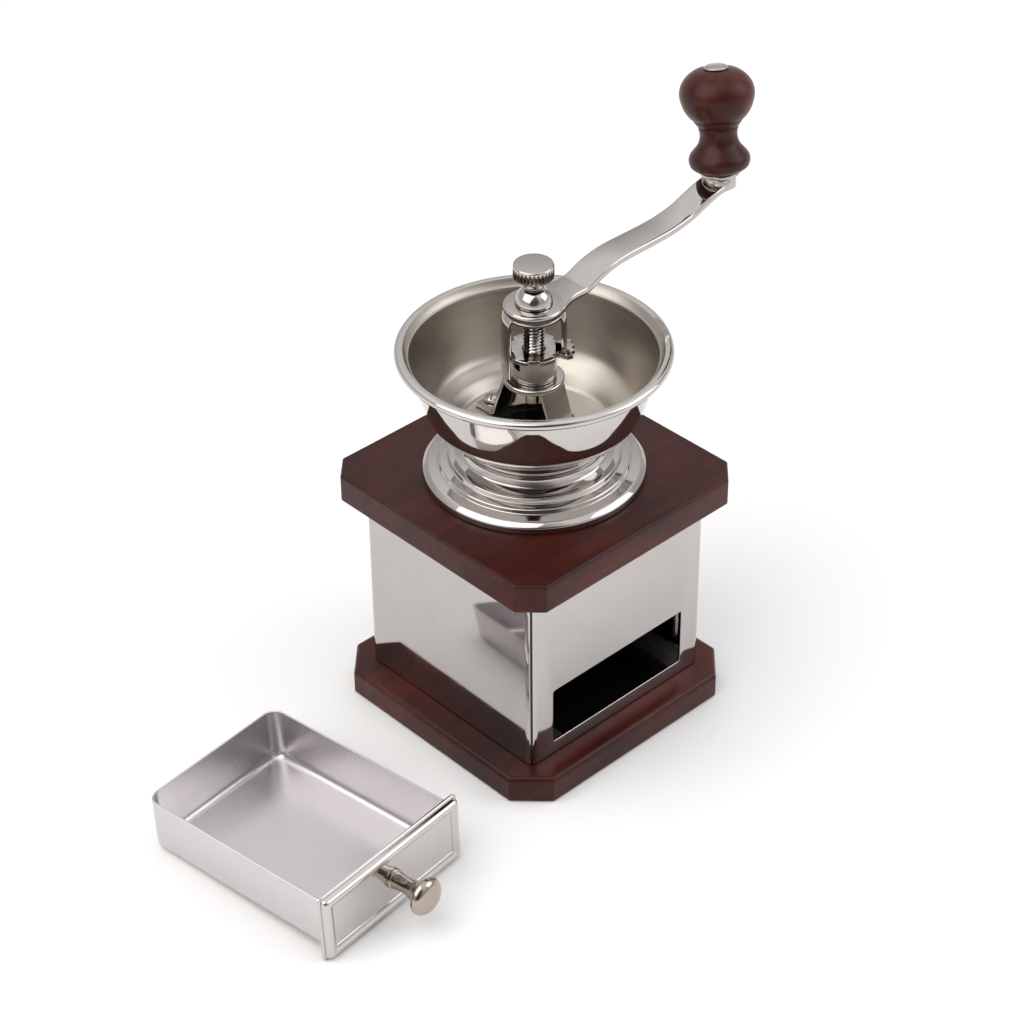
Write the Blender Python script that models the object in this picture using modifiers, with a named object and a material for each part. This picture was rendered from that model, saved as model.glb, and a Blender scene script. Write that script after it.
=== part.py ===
"""Hand-cranked burr coffee grinder with its drawer taken out and set down beside it.

Frame: metres, +Z up, origin on the table under the crank's axis.  The drawer slot faces -Y and
the crank arm points along +X.
"""
import math

import bmesh
import bpy
from mathutils import Matrix, Vector

MM = 0.001
CLEAR = 0.3 * MM            # gap kept between pieces that touch
SCREW_CLEAR = 0.3 * MM      # radial room round a screw or rod in its hole
MERGE = 0.00001

# ---- wooden plates -------------------------------------------------------------------------
BASE_WIDTH = 117.0 * MM
BASE_THICK = 12.0 * MM
BASE_CHAMFER = 12.5 * MM
BASE_EDGE = 1.6 * MM
TOP_WIDTH = 115.0 * MM
TOP_THICK = 12.4 * MM
TOP_CHAMFER = 8.5 * MM
TOP_EDGE = 0.9 * MM

# ---- drawer --------------------------------------------------------------------------------
TRAY_WIDTH = 69.5 * MM
TRAY_HEIGHT = 23.8 * MM
TRAY_WALL = 0.9 * MM
TRAY_CORNER = 6.0 * MM        # at the far end
TRAY_NEAR_CORNER = 2.5 * MM
TRAY_BOTTOM_ROUND = 4.0 * MM
TRAY_SIDE_CLEAR = 1.0 * MM   # each side, in the slot
TRAY_BACK_CLEAR = 0.8 * MM
TRAY_LIFT_CLEAR = 1.5 * MM   # above the rim, in the slot
FRONT_DEPTH = 4.0 * MM
FRONT_OVERLAP = 1.75 * MM    # each side, over the slot's edge
FRONT_DROP = 3.2 * MM        # below the tray
FRONT_RISE = 1.8 * MM        # above the slot's top edge
FRONT_CORNER = 2.0 * MM
FRONT_EDGE = 1.0 * MM
PANEL_INSET = 5.2 * MM
PANEL_DEPTH = 1.4 * MM
KNOB_RADIUS = 7.6 * MM
KNOB_LENGTH = 19.5 * MM
KNOB_STEM_RADIUS = 3.2 * MM
KNOB_BORE_DEPTH = 9.0 * MM
KNOB_SCREW_RADIUS = 1.5 * MM
KNOB_SCREW_HEAD = 3.2 * MM
DRAWER_X = -128.8 * MM
DRAWER_Y = -60.5 * MM
DRAWER_YAW = math.radians(6.2)

# ---- steel housing -------------------------------------------------------------------------
SHELL_WIDTH = 94.9 * MM
SHELL_HEIGHT = 82.7 * MM
SHELL_CORNER = 3.5 * MM
SHELL_WALL = 0.8 * MM
SILL_HEIGHT = 5.9 * MM       # from the shell's lower edge to the slot
SLOT_CORNER = 1.2 * MM
RUNNER_WIDTH = 6.0 * MM
RUNNER_GUIDE = 6.0 * MM      # height of the side guide above the tray's floor
RUNNER_SHEET = 1.0 * MM

# ---- burr set and neck ---------------------------------------------------------------------
NECK_HEIGHT = 17.3 * MM
NECK_BORE = 20.4 * MM
FLANGE_RADIUS = 43.6 * MM
RING_RADIUS = 20.0 * MM
RING_RISE = 16.0 * MM        # of the ring above the top plate
RING_FLANGE_RADIUS = 40.0 * MM
RING_FLANGE_THICK = 3.0 * MM
RING_TOP_BORE = 16.8 * MM
RING_LOW_BORE = 19.4 * MM
CONE_TOP_RADIUS = 8.0 * MM
CONE_LOW_RADIUS = 18.0 * MM
CONE_HEIGHT = 27.0 * MM
CONE_TEETH = 16
CONE_FLUTE = 1.6 * MM
CLAMP_CIRCLE = 35.0 * MM     # radius on which the three long screws stand
CLAMP_SCREW = 2.0 * MM
CLAMP_BITE = 5.0 * MM        # how far they reach into the neck

# ---- hopper bowl ---------------------------------------------------------------------------
BOWL_HEIGHT = 38.8 * MM
BOWL_RIM_RADIUS = 53.0 * MM
BOWL_THROAT = 48.3 * MM      # outer radius just under the rim
BOWL_SHOULDER = 41.8 * MM
BOWL_SHOULDER_HEIGHT = 11.0 * MM
BOWL_FLOOR = 29.0 * MM
BOWL_HOLE = 17.6 * MM
BOWL_WALL = 0.9 * MM
RIM_ROLL = 1.7 * MM          # radius of the rolled lip

# ---- bracket that carries the shaft --------------------------------------------------------
COLLAR_RADIUS = 11.8 * MM
COLLAR_THICK = 2.4 * MM
COLLAR_HEIGHT = 24.6 * MM    # collar's top above the bowl's floor
STRAP_WIDTH = 12.0 * MM
STRAP_THICK = 1.6 * MM
LEG_TOP = 9.5 * MM
LEG_FOOT = 17.6 * MM
FOOT_END = 26.6 * MM
FOOT_SCREW_CIRCLE = 23.6 * MM
FOOT_SCREW = 1.7 * MM
FOOT_SCREW_HEAD = 3.3 * MM
FOOT_SCREW_LENGTH = 8.0 * MM
BUSH_BORE = 3.6 * MM
BUSH_RADIUS = 5.0 * MM

# ---- spindle -------------------------------------------------------------------------------
SHAFT_RADIUS = 3.3 * MM
THREAD_RADIUS = 4.1 * MM
STUD_RADIUS = 2.5 * MM
NUT_BARREL = 8.85 * MM
NUT_BARREL_HEIGHT = 9.1 * MM
NUT_DISC = 11.0 * MM
NUT_DISC_THICK = 1.9 * MM
NUT_TAB = 15.6 * MM          # tips of the tab's teeth from the axis
NUT_TAB_TEETH = 4
NUT_TOOTH_DEPTH = 1.6 * MM
NUT_TAB_HALF = math.radians(26.0)
THRUST_RADIUS = 8.4 * MM
THRUST_THICK = 0.8 * MM
CLIP_SHEET = 1.2 * MM
CLIP_RADIUS = 12.6 * MM      # outer face of the legs from the axis
CLIP_LONG_LEG = 26.0 * MM
CLIP_LONG_HALF = math.radians(40.0)
CLIP_SHORT_HALF = math.radians(24.0)
CLIP_AZIMUTH = math.radians(-43.0)
CLIP_CLEAR = 0.6 * MM        # under the short leg, over the nut's tab
SKIM = 0.15 * MM             # the windows cut this far into the cap
HUB_RADIUS = 11.6 * MM
HUB_THICK = 3.0 * MM
HUB_STAND = 19.9 * MM        # hub's upper face above the adjusting nut
ARM_THICK = 3.0 * MM
ARM_WIDTH = 13.2 * MM
ARM_TAPER = 1.2 * MM
ARM_END_X = 100.9 * MM
ARM_RISE = 14.6 * MM         # of the arm's end above the hub
PAD_RADIUS = 7.0 * MM
PAD_THICK = 5.1 * MM
PAD_PROUD = 0.8 * MM         # of the pad over the arm's own upper face
DOME_RADIUS = 7.25 * MM
DOME_HEIGHT = 5.6 * MM
THUMB_RADIUS = 7.85 * MM
THUMB_HEIGHT = 5.8 * MM
THUMB_NECK = 4.0 * MM
THUMB_NECK_HEIGHT = 5.0 * MM
BURR_WASHER_RADIUS = 9.0 * MM
BURR_NUT_RADIUS = 6.0 * MM
BURR_NUT_HEIGHT = 5.0 * MM

# ---- grip ----------------------------------------------------------------------------------
GRIP_LEAN = (0.087, 0.185, 1.0)  # the way its pin points
GRIP_LENGTH = 40.8 * MM
GRIP_RADIUS = 14.7 * MM
GRIP_PIN = 2.4 * MM
GRIP_PIN_HEAD = 4.9 * MM
GRIP_WASHER = 7.9 * MM
GRIP_WASHER_THICK = 1.4 * MM

# ---- tie rods ------------------------------------------------------------------------------
ROD_RADIUS = 2.0 * MM
ROD_HEAD = 3.8 * MM
ROD_HEAD_THICK = 2.4 * MM
ROD_INSET = 6.0 * MM         # from the shell's inner face
ROD_BITE = 8.0 * MM
ROD_RECESS = 0.8 * MM        # head above the underside

# ---- heights that follow -------------------------------------------------------------------
SHELL_BOTTOM = BASE_THICK + CLEAR
SHELL_TOP = SHELL_BOTTOM + SHELL_HEIGHT
TOP_BOTTOM = SHELL_TOP + CLEAR
TOP_TOP = TOP_BOTTOM + TOP_THICK
NECK_BOTTOM = TOP_TOP + CLEAR
NECK_TOP = NECK_BOTTOM + NECK_HEIGHT
BOWL_BOTTOM = NECK_TOP + CLEAR
BOWL_INSIDE = BOWL_BOTTOM + BOWL_WALL
COLLAR_TOP = BOWL_INSIDE + COLLAR_HEIGHT
RING_TOP = TOP_TOP + RING_RISE
RING_BOTTOM = TOP_BOTTOM - CLEAR - RING_FLANGE_THICK
NUT_BOTTOM = COLLAR_TOP + CLEAR + THRUST_THICK + CLEAR
NUT_TOP = NUT_BOTTOM + NUT_BARREL_HEIGHT + NUT_DISC_THICK
HUB_TOP = NUT_TOP + HUB_STAND
HUB_BOTTOM = HUB_TOP - HUB_THICK
CLIP_TOP = HUB_BOTTOM - CLEAR
DOME_BOTTOM = HUB_TOP + CLEAR
DOME_TOP = DOME_BOTTOM + DOME_HEIGHT
THUMB_BOTTOM = DOME_TOP + CLEAR
THUMB_TOP = THUMB_BOTTOM + THUMB_NECK_HEIGHT + THUMB_HEIGHT
CONE_BOTTOM = RING_BOTTOM + 1.5 * MM
CONE_TOP = CONE_BOTTOM + CONE_HEIGHT
SLOT_BOTTOM = SHELL_BOTTOM + SILL_HEIGHT
SLOT_WIDTH = TRAY_WIDTH + 2 * TRAY_SIDE_CLEAR
SLOT_HEIGHT = CLEAR + TRAY_HEIGHT + TRAY_LIFT_CLEAR
TRAY_LENGTH = SHELL_WIDTH - 2 * SHELL_WALL - TRAY_BACK_CLEAR
FRONT_WIDTH = SLOT_WIDTH + 2 * FRONT_OVERLAP
FRONT_HEIGHT = FRONT_DROP + SLOT_HEIGHT - CLEAR + FRONT_RISE
SHELL_INSIDE = SHELL_WIDTH / 2 - SHELL_WALL
ROD_PLACE = SHELL_INSIDE - ROD_INSET


# ---- scene and helpers ---------------------------------------------------------------------
for old in list(bpy.data.objects):
    bpy.data.objects.remove(old, do_unlink=True)

PARTS = bpy.data.collections.new("burr_coffee_grinder")
CUTTERS = bpy.data.collections.new("cutters")
bpy.context.scene.collection.children.link(PARTS)
bpy.context.scene.collection.children.link(CUTTERS)


def material(name, colour, roughness, metallic):
    """A Principled material with one colour, roughness and metallic value."""
    made = bpy.data.materials.new(name)
    made.use_nodes = True
    shader = made.node_tree.nodes["Principled BSDF"]
    shader.inputs["Base Color"].default_value = (*colour, 1.0)
    shader.inputs["Roughness"].default_value = roughness
    shader.inputs["Metallic"].default_value = metallic
    made.diffuse_color = (*colour, 1.0)
    return made


WOOD = material("stained_wood", (0.085, 0.018, 0.012), 0.35, 0.0)
STEEL = material("polished_steel", (0.72, 0.70, 0.68), 0.12, 1.0)
SATIN = material("satin_steel", (0.66, 0.63, 0.60), 0.32, 1.0)
CHROME = material("chrome_plate", (0.78, 0.76, 0.73), 0.06, 1.0)
IRON = material("burr_iron", (0.20, 0.19, 0.18), 0.45, 1.0)
ZINC = material("zinc_fastener", (0.55, 0.55, 0.55), 0.30, 1.0)
BRONZE = material("bush_bronze", (0.55, 0.38, 0.20), 0.35, 1.0)


def add(name, mesh, finish, collection=PARTS):
    """Link an object made from a mesh, with its material and smooth round faces."""
    thing = bpy.data.objects.new(name, mesh)
    collection.objects.link(thing)
    if finish:
        mesh.materials.append(finish)
    return thing


def mesh_from(bm, name, smooth=True):
    """Write a bmesh to a new mesh, with its faces turned outwards."""
    bmesh.ops.recalc_face_normals(bm, faces=bm.faces)
    mesh = bpy.data.meshes.new(name)
    bm.to_mesh(mesh)
    bm.free()
    if smooth:
        mesh.shade_smooth()
        mesh.set_sharp_from_angle(angle=math.radians(35))
    return mesh


def as_cutter(thing):
    """Show a cutter or a joining body as a wire, and keep it out of the build."""
    thing.hide_render = True
    thing.display_type = "WIRE"
    return thing


def combine(thing, other, operation="DIFFERENCE"):
    """Cut one closed body from another, or join the two."""
    step = thing.modifiers.new(operation.lower(), "BOOLEAN")
    step.operation = operation
    step.object = other
    step.solver = "EXACT"


def filleted(points, radii, closed=False, steps=3):
    """Round the corners of an outline: each corner's arc is sampled between its two tangents."""
    count = len(points)
    made = []
    for index, here in enumerate(points):
        radius = radii.get(index, 0.0)
        if radius <= 0.0 or (not closed and index in (0, count - 1)):
            made.append(tuple(here))
            continue
        corner = Vector(here)
        to_before = (Vector(points[index - 1]) - corner).normalized()
        to_after = (Vector(points[(index + 1) % count]) - corner).normalized()
        half = to_before.angle(to_after) / 2
        reach = radius / math.tan(half)
        centre = corner + (to_before + to_after).normalized() * radius / math.sin(half)
        start = corner + to_before * reach - centre
        end = corner + to_after * reach - centre
        first = math.atan2(start.y, start.x)
        sweep = (math.atan2(end.y, end.x) - first + math.pi) % (2 * math.pi) - math.pi
        for step in range(steps + 1):
            turn = first + sweep * step / steps
            made.append((centre.x + radius * math.cos(turn), centre.y + radius * math.sin(turn)))
    return made


def turned(name, outline, finish, closed=False, steps=32, collection=PARTS):
    """Turn an outline of (radius, height) points, listed down its outer side, about Z."""
    bm = bmesh.new()
    corners = [bm.verts.new((radius, 0.0, height)) for radius, height in outline]
    for first, second in zip(corners, corners[1:]):
        bm.edges.new((first, second))
    if closed:
        bm.edges.new((corners[-1], corners[0]))
    mesh = bpy.data.meshes.new(name)
    bm.to_mesh(mesh)
    bm.free()
    thing = add(name, mesh, finish, collection)
    spin = thing.modifiers.new("turn", "SCREW")
    spin.axis = "Z"
    spin.angle = 2 * math.pi
    spin.steps = steps
    spin.render_steps = steps
    spin.use_merge_vertices = True
    spin.merge_threshold = MERGE
    spin.use_smooth_shade = True
    return thing


def cylinder(name, radius, bottom, top, finish=None, place=(0.0, 0.0), sides=24, collection=CUTTERS):
    """An upright cylinder between two heights."""
    bm = bmesh.new()
    bmesh.ops.create_cone(bm, cap_ends=True, segments=sides, radius1=radius, radius2=radius,
                          depth=top - bottom)
    bmesh.ops.translate(bm, verts=bm.verts, vec=(place[0], place[1], (top + bottom) / 2))
    thing = add(name, mesh_from(bm, name), finish, collection)
    return as_cutter(thing) if collection == CUTTERS else thing


def block(name, low, high, finish=None, collection=CUTTERS):
    """A box between its lowest and highest corner."""
    bm = bmesh.new()
    bmesh.ops.create_cube(bm, size=1.0)
    size = Vector(high) - Vector(low)
    bmesh.ops.scale(bm, verts=bm.verts, vec=size)
    bmesh.ops.translate(bm, verts=bm.verts, vec=(Vector(high) + Vector(low)) / 2)
    thing = add(name, mesh_from(bm, name, smooth=False), finish, collection)
    return as_cutter(thing) if collection == CUTTERS else thing


def upright_edges(bm):
    """The edges of a box that run along Z."""
    return [edge for edge in bm.edges
            if abs(edge.verts[0].co.z - edge.verts[1].co.z) > abs(edge.calc_length()) * 0.9]


def ring_places(count, radius, first=0.0):
    """Points evenly spaced on a circle about the axis."""
    turns = [first + 2 * math.pi * index / count for index in range(count)]
    return [(radius * math.cos(turn), radius * math.sin(turn)) for turn in turns]


def drill(thing, radius, bottom, top, places, name):
    """Drill upright holes of one radius at several places."""
    for number, place in enumerate(places, start=1):
        hole = cylinder(f"{name}_{number}", radius, bottom, top, place=place, sides=16)
        combine(thing, hole)


def screw_outline(head_radius, head_thick, shank_radius, length, dome=0.0):
    """Outline of a screw whose head is at the bottom, with its seat at height zero."""
    return [(0.0, length), (shank_radius, length), (shank_radius, 0.0), (head_radius, 0.0),
            (head_radius, -head_thick + dome), (head_radius - dome, -head_thick), (0.0, -head_thick)]


ROD_PLACES = [(sx * ROD_PLACE, sy * ROD_PLACE) for sx in (-1, 1) for sy in (-1, 1)]
CLAMP_PLACES = ring_places(3, CLAMP_CIRCLE, math.radians(30))
FOOT_PLACES = [(0.0, -FOOT_SCREW_CIRCLE), (0.0, FOOT_SCREW_CIRCLE)]


# ---- wooden plates -------------------------------------------------------------------------
def wooden_plate(name, width, bottom, top, chamfer, edge):
    """A square plate with its four corners cut off and its edges eased."""
    bm = bmesh.new()
    bmesh.ops.create_cube(bm, size=1.0)
    bmesh.ops.scale(bm, verts=bm.verts, vec=(width, width, top - bottom))
    bmesh.ops.translate(bm, verts=bm.verts, vec=(0, 0, (top + bottom) / 2))
    bmesh.ops.bevel(bm, geom=upright_edges(bm), offset=chamfer, segments=1, affect="EDGES")
    thing = add(name, mesh_from(bm, name), WOOD)
    ease = thing.modifiers.new("eased_edges", "BEVEL")
    ease.width = edge
    ease.segments = 2
    ease.limit_method = "ANGLE"
    ease.angle_limit = math.radians(30)
    return thing


def make_plates():
    """Base and top plate, with the holes that the rods, clamp screws and burr ring pass through."""
    base = wooden_plate("base_plate", BASE_WIDTH, 0.0, BASE_THICK, BASE_CHAMFER, BASE_EDGE)
    head_top = ROD_RECESS + ROD_HEAD_THICK + CLEAR
    drill(base, ROD_RADIUS + SCREW_CLEAR, -CLEAR, BASE_THICK + CLEAR, ROD_PLACES, "rod_hole")
    drill(base, ROD_HEAD + SCREW_CLEAR, -CLEAR, head_top, ROD_PLACES, "rod_recess")
    top = wooden_plate("top_plate", TOP_WIDTH, TOP_BOTTOM, TOP_TOP, TOP_CHAMFER, TOP_EDGE)
    drill(top, ROD_RADIUS + SCREW_CLEAR, TOP_BOTTOM - CLEAR, TOP_BOTTOM + ROD_BITE + CLEAR,
          ROD_PLACES, "rod_socket")
    drill(top, CLAMP_SCREW + SCREW_CLEAR, TOP_BOTTOM - CLEAR, TOP_TOP + CLEAR, CLAMP_PLACES,
          "clamp_hole")
    combine(top, cylinder("burr_hole", RING_RADIUS + CLEAR, TOP_BOTTOM - CLEAR, TOP_TOP + CLEAR,
                          sides=48))


# ---- steel housing -------------------------------------------------------------------------
def make_shell():
    """The square steel tube with rounded corners and the drawer's slot in its front."""
    bm = bmesh.new()
    bmesh.ops.create_cube(bm, size=1.0)
    bmesh.ops.scale(bm, verts=bm.verts, vec=(SHELL_WIDTH, SHELL_WIDTH, SHELL_HEIGHT))
    bmesh.ops.translate(bm, verts=bm.verts, vec=(0, 0, (SHELL_TOP + SHELL_BOTTOM) / 2))
    ends = [face for face in bm.faces if abs(face.normal.z) > 0.9]
    bmesh.ops.delete(bm, geom=ends, context="FACES_ONLY")
    bmesh.ops.bevel(bm, geom=upright_edges(bm), offset=SHELL_CORNER, segments=4, affect="EDGES")
    shell = add("body_shell", mesh_from(bm, "body_shell"), STEEL)
    wall = shell.modifiers.new("wall", "SOLIDIFY")
    wall.thickness = SHELL_WALL
    wall.offset = -1.0
    wall.use_even_offset = True
    bm = bmesh.new()
    bmesh.ops.create_cube(bm, size=1.0)
    bmesh.ops.scale(bm, verts=bm.verts, vec=(SLOT_WIDTH, SHELL_WALL * 8, SLOT_HEIGHT))
    across = [edge for edge in bm.edges
              if abs(edge.verts[0].co.y - edge.verts[1].co.y) > SHELL_WALL]
    bmesh.ops.bevel(bm, geom=across, offset=SLOT_CORNER, segments=3, affect="EDGES")
    bmesh.ops.translate(bm, verts=bm.verts,
                        vec=(0, -SHELL_WIDTH / 2, SLOT_BOTTOM + SLOT_HEIGHT / 2))
    combine(shell, as_cutter(add("drawer_slot", mesh_from(bm, "drawer_slot"), None, CUTTERS)))


def make_runners():
    """Two angle runners on the base that carry the tray's edges and guide its sides."""
    floor = SLOT_BOTTOM
    inner = TRAY_WIDTH / 2 - RUNNER_WIDTH + TRAY_SIDE_CLEAR
    outer = TRAY_WIDTH / 2 + TRAY_SIDE_CLEAR
    front = -SHELL_INSIDE + CLEAR
    back = SHELL_INSIDE - CLEAR
    for side, name in ((-1, "drawer_runner_left"), (1, "drawer_runner_right")):
        reach = sorted((side * inner, side * (outer + RUNNER_SHEET)))
        rail = block(name, (reach[0], front, SHELL_BOTTOM), (reach[1], back, floor), SATIN, PARTS)
        guide = sorted((side * outer, side * (outer + RUNNER_SHEET)))
        combine(rail, block(f"{name}_guide", (guide[0], front, floor - RUNNER_SHEET),
                            (guide[1], back, floor + RUNNER_GUIDE)), "UNION")


def make_rods():
    """Four long rods from the base's underside up into the top plate."""
    seat = ROD_RECESS + ROD_HEAD_THICK
    length = TOP_BOTTOM + ROD_BITE - seat
    outline = screw_outline(ROD_HEAD, ROD_HEAD_THICK, ROD_RADIUS, length, dome=0.5 * MM)
    for number, place in enumerate(ROD_PLACES, start=1):
        rod = turned(f"tie_rod_{number}", outline, ZINC, steps=12)
        rod.location = (*place, seat)


# ---- neck and burr set ---------------------------------------------------------------------
def make_neck():
    """Stepped neck with a broad flange, bored for the burr ring."""
    foot = NECK_BOTTOM
    outline = [(NECK_BORE, NECK_TOP), (28.0 * MM, NECK_TOP), (28.6 * MM, NECK_TOP - 3.2 * MM),
               (29.4 * MM, foot + 10.4 * MM), (31.2 * MM, foot + 9.4 * MM),
               (33.4 * MM, foot + 9.0 * MM), (34.6 * MM, foot + 7.2 * MM),
               (37.4 * MM, foot + 6.6 * MM), (39.0 * MM, foot + 4.8 * MM),
               (42.4 * MM, foot + 4.4 * MM), (FLANGE_RADIUS, foot + 3.0 * MM),
               (FLANGE_RADIUS, foot), (NECK_BORE, foot)]
    neck = turned("neck_flange", outline, CHROME, closed=True, steps=48)
    drill(neck, CLAMP_SCREW + SCREW_CLEAR, foot - CLEAR, foot + CLAMP_BITE + CLEAR, CLAMP_PLACES,
          "clamp_socket")
    drill(neck, FOOT_SCREW + SCREW_CLEAR, NECK_TOP - FOOT_SCREW_LENGTH, NECK_TOP + CLEAR,
          FOOT_PLACES, "foot_socket")


def make_burrs():
    """Outer burr ring with its flange, the three clamp screws, and the fluted inner cone."""
    outline = [(RING_TOP_BORE, RING_TOP), (RING_RADIUS, RING_TOP),
               (RING_RADIUS, RING_BOTTOM + RING_FLANGE_THICK),
               (RING_FLANGE_RADIUS, RING_BOTTOM + RING_FLANGE_THICK),
               (RING_FLANGE_RADIUS, RING_BOTTOM), (RING_LOW_BORE, RING_BOTTOM)]
    ring = turned("burr_ring", outline, IRON, closed=True, steps=40)
    drill(ring, CLAMP_SCREW + SCREW_CLEAR, RING_BOTTOM - CLEAR, TOP_BOTTOM, CLAMP_PLACES,
          "ring_hole")
    seat = RING_BOTTOM - CLEAR
    outline = screw_outline(2 * CLAMP_SCREW, 2.0 * MM, CLAMP_SCREW, NECK_BOTTOM + CLAMP_BITE - seat,
                            dome=0.5 * MM)
    for number, place in enumerate(CLAMP_PLACES, start=1):
        screw = turned(f"clamp_screw_{number}", outline, ZINC, steps=12)
        screw.location = (*place, seat)
    bm = bmesh.new()
    bmesh.ops.create_cone(bm, cap_ends=True, segments=2 * CONE_TEETH, radius1=CONE_LOW_RADIUS,
                          radius2=CONE_TOP_RADIUS, depth=CONE_HEIGHT)
    half_tooth = math.pi / CONE_TEETH
    for corner in bm.verts:
        step = round(math.atan2(corner.co.y, corner.co.x) / half_tooth)
        if step % 2:
            reach = math.hypot(corner.co.x, corner.co.y)
            corner.co.x *= 1 - CONE_FLUTE / reach
            corner.co.y *= 1 - CONE_FLUTE / reach
    bmesh.ops.translate(bm, verts=bm.verts, vec=(0, 0, CONE_BOTTOM + CONE_HEIGHT / 2))
    cone = add("burr_cone", mesh_from(bm, "burr_cone"), IRON)
    combine(cone, cylinder("cone_bore", SHAFT_RADIUS + CLEAR, CONE_BOTTOM - CLEAR,
                           CONE_TOP + CLEAR))


# ---- hopper and bracket --------------------------------------------------------------------
def make_bowl():
    """Deep hopper bowl with an open floor and a rolled lip."""
    foot = BOWL_BOTTOM
    rim = foot + BOWL_HEIGHT
    wall = BOWL_WALL
    inner = BOWL_RIM_RADIUS - 2.2 * RIM_ROLL
    outline = [(inner, rim), (BOWL_RIM_RADIUS, rim), (BOWL_RIM_RADIUS, rim - 2 * RIM_ROLL),
               (BOWL_THROAT + RIM_ROLL, rim - 2 * RIM_ROLL), (BOWL_THROAT, rim - 3.6 * RIM_ROLL),
               (BOWL_SHOULDER, foot + BOWL_SHOULDER_HEIGHT), (BOWL_FLOOR, foot),
               (BOWL_HOLE, foot), (BOWL_HOLE, foot + wall), (BOWL_FLOOR - wall / 3, foot + wall),
               (BOWL_SHOULDER - wall, foot + BOWL_SHOULDER_HEIGHT + wall / 3),
               (BOWL_THROAT - wall, rim - 3.4 * RIM_ROLL), (inner - RIM_ROLL / 2, rim - RIM_ROLL)]
    radii = {0: RIM_ROLL * 0.8, 1: RIM_ROLL * 0.98, 2: RIM_ROLL * 0.98, 3: RIM_ROLL * 0.5,
             4: 2 * MM, 5: 9 * MM, 6: 3 * MM, 9: 3 * MM + wall, 10: 9 * MM - wall, 11: 3 * MM}
    bowl = turned("hopper_bowl", filleted(outline, radii, closed=True), SATIN, closed=True,
                  steps=48)
    drill(bowl, FOOT_SCREW + SCREW_CLEAR, foot - CLEAR, foot + wall + CLEAR, FOOT_PLACES,
          "floor_hole")


def strap_outline(path, thick):
    """Closed outline of a strap: its path, and the same path set back by the thickness."""
    ahead = [Vector(path[min(index + 1, len(path) - 1)]) - Vector(path[max(index - 1, 0)])
             for index in range(len(path))]
    other = []
    for index, (point, way) in enumerate(zip(path, ahead)):
        side = Vector((way.y, -way.x)).normalized()
        stretch = 1.0
        if 0 < index < len(path) - 1:
            leg = (Vector(path[index]) - Vector(path[index - 1])).normalized()
            stretch = 1.0 / max(0.5, leg.dot(way.normalized()))
        other.append(tuple(Vector(point) + side * thick * stretch))
    return list(path) + other[::-1]


def extruded(name, outline, width, finish, collection=PARTS):
    """A flat outline in X and Y as a filled 2D curve, extruded to a width along Z, as a mesh."""
    curve = bpy.data.curves.new(name, "CURVE")
    curve.dimensions = "2D"
    curve.fill_mode = "BOTH"
    curve.extrude = width / 2
    line = curve.splines.new("POLY")
    line.points.add(len(outline) - 1)
    for point, place in zip(line.points, outline):
        point.co = (place[0], place[1], 0.0, 1.0)
    line.use_cyclic_u = True
    source = bpy.data.objects.new(f"{name}_outline", curve)
    bpy.context.scene.collection.objects.link(source)
    graph = bpy.context.evaluated_depsgraph_get()
    mesh = bpy.data.meshes.new_from_object(source.evaluated_get(graph))
    bpy.data.objects.remove(source, do_unlink=True)
    bm = bmesh.new()
    bm.from_mesh(mesh)
    bmesh.ops.remove_doubles(bm, verts=bm.verts, dist=MERGE)
    bpy.data.meshes.remove(mesh)
    return add(name, mesh_from(bm, name, smooth=False), finish, collection)


def make_bracket():
    """Inverted U strap across the bowl with a round collar, its bush and its two foot screws."""
    under = COLLAR_TOP - COLLAR_THICK / 2 + STRAP_THICK / 2
    foot_top = BOWL_INSIDE + CLEAR + STRAP_THICK
    half = [(LEG_TOP, under), (LEG_FOOT, foot_top), (FOOT_END, foot_top)]
    path = [(-y, z) for y, z in reversed(half)] + half
    strap = extruded("bearing_bracket", strap_outline(path, STRAP_THICK), STRAP_WIDTH, CHROME)
    strap.data.transform(Matrix(((0, 0, 1, 0), (1, 0, 0, 0), (0, 1, 0, 0), (0, 0, 0, 1))))
    collar = cylinder("bracket_collar", COLLAR_RADIUS, COLLAR_TOP - COLLAR_THICK, COLLAR_TOP,
                      sides=40)
    combine(strap, collar, "UNION")
    combine(strap, cylinder("collar_bore", BUSH_RADIUS + CLEAR, COLLAR_TOP - 2 * COLLAR_THICK,
                            COLLAR_TOP + CLEAR))
    drill(strap, FOOT_SCREW + SCREW_CLEAR, BOWL_INSIDE, foot_top + CLEAR, FOOT_PLACES,
          "foot_hole")
    bush = [(BUSH_BORE, COLLAR_TOP), (BUSH_RADIUS, COLLAR_TOP),
            (BUSH_RADIUS, COLLAR_TOP - COLLAR_THICK), (BUSH_BORE, COLLAR_TOP - COLLAR_THICK)]
    turned("bearing_bush", bush, BRONZE, closed=True, steps=24)
    reach = foot_top + CLEAR - (NECK_TOP - FOOT_SCREW_LENGTH + CLEAR)
    outline = screw_outline(FOOT_SCREW_HEAD, 2.0 * MM, FOOT_SCREW, reach, dome=1.0 * MM)
    for name, place in zip(("foot_screw_front", "foot_screw_back"), FOOT_PLACES):
        screw = turned(name, outline, CHROME, steps=16)
        screw.location = (*place, foot_top + CLEAR)
        screw.rotation_euler = (math.pi, 0, 0)


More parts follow.
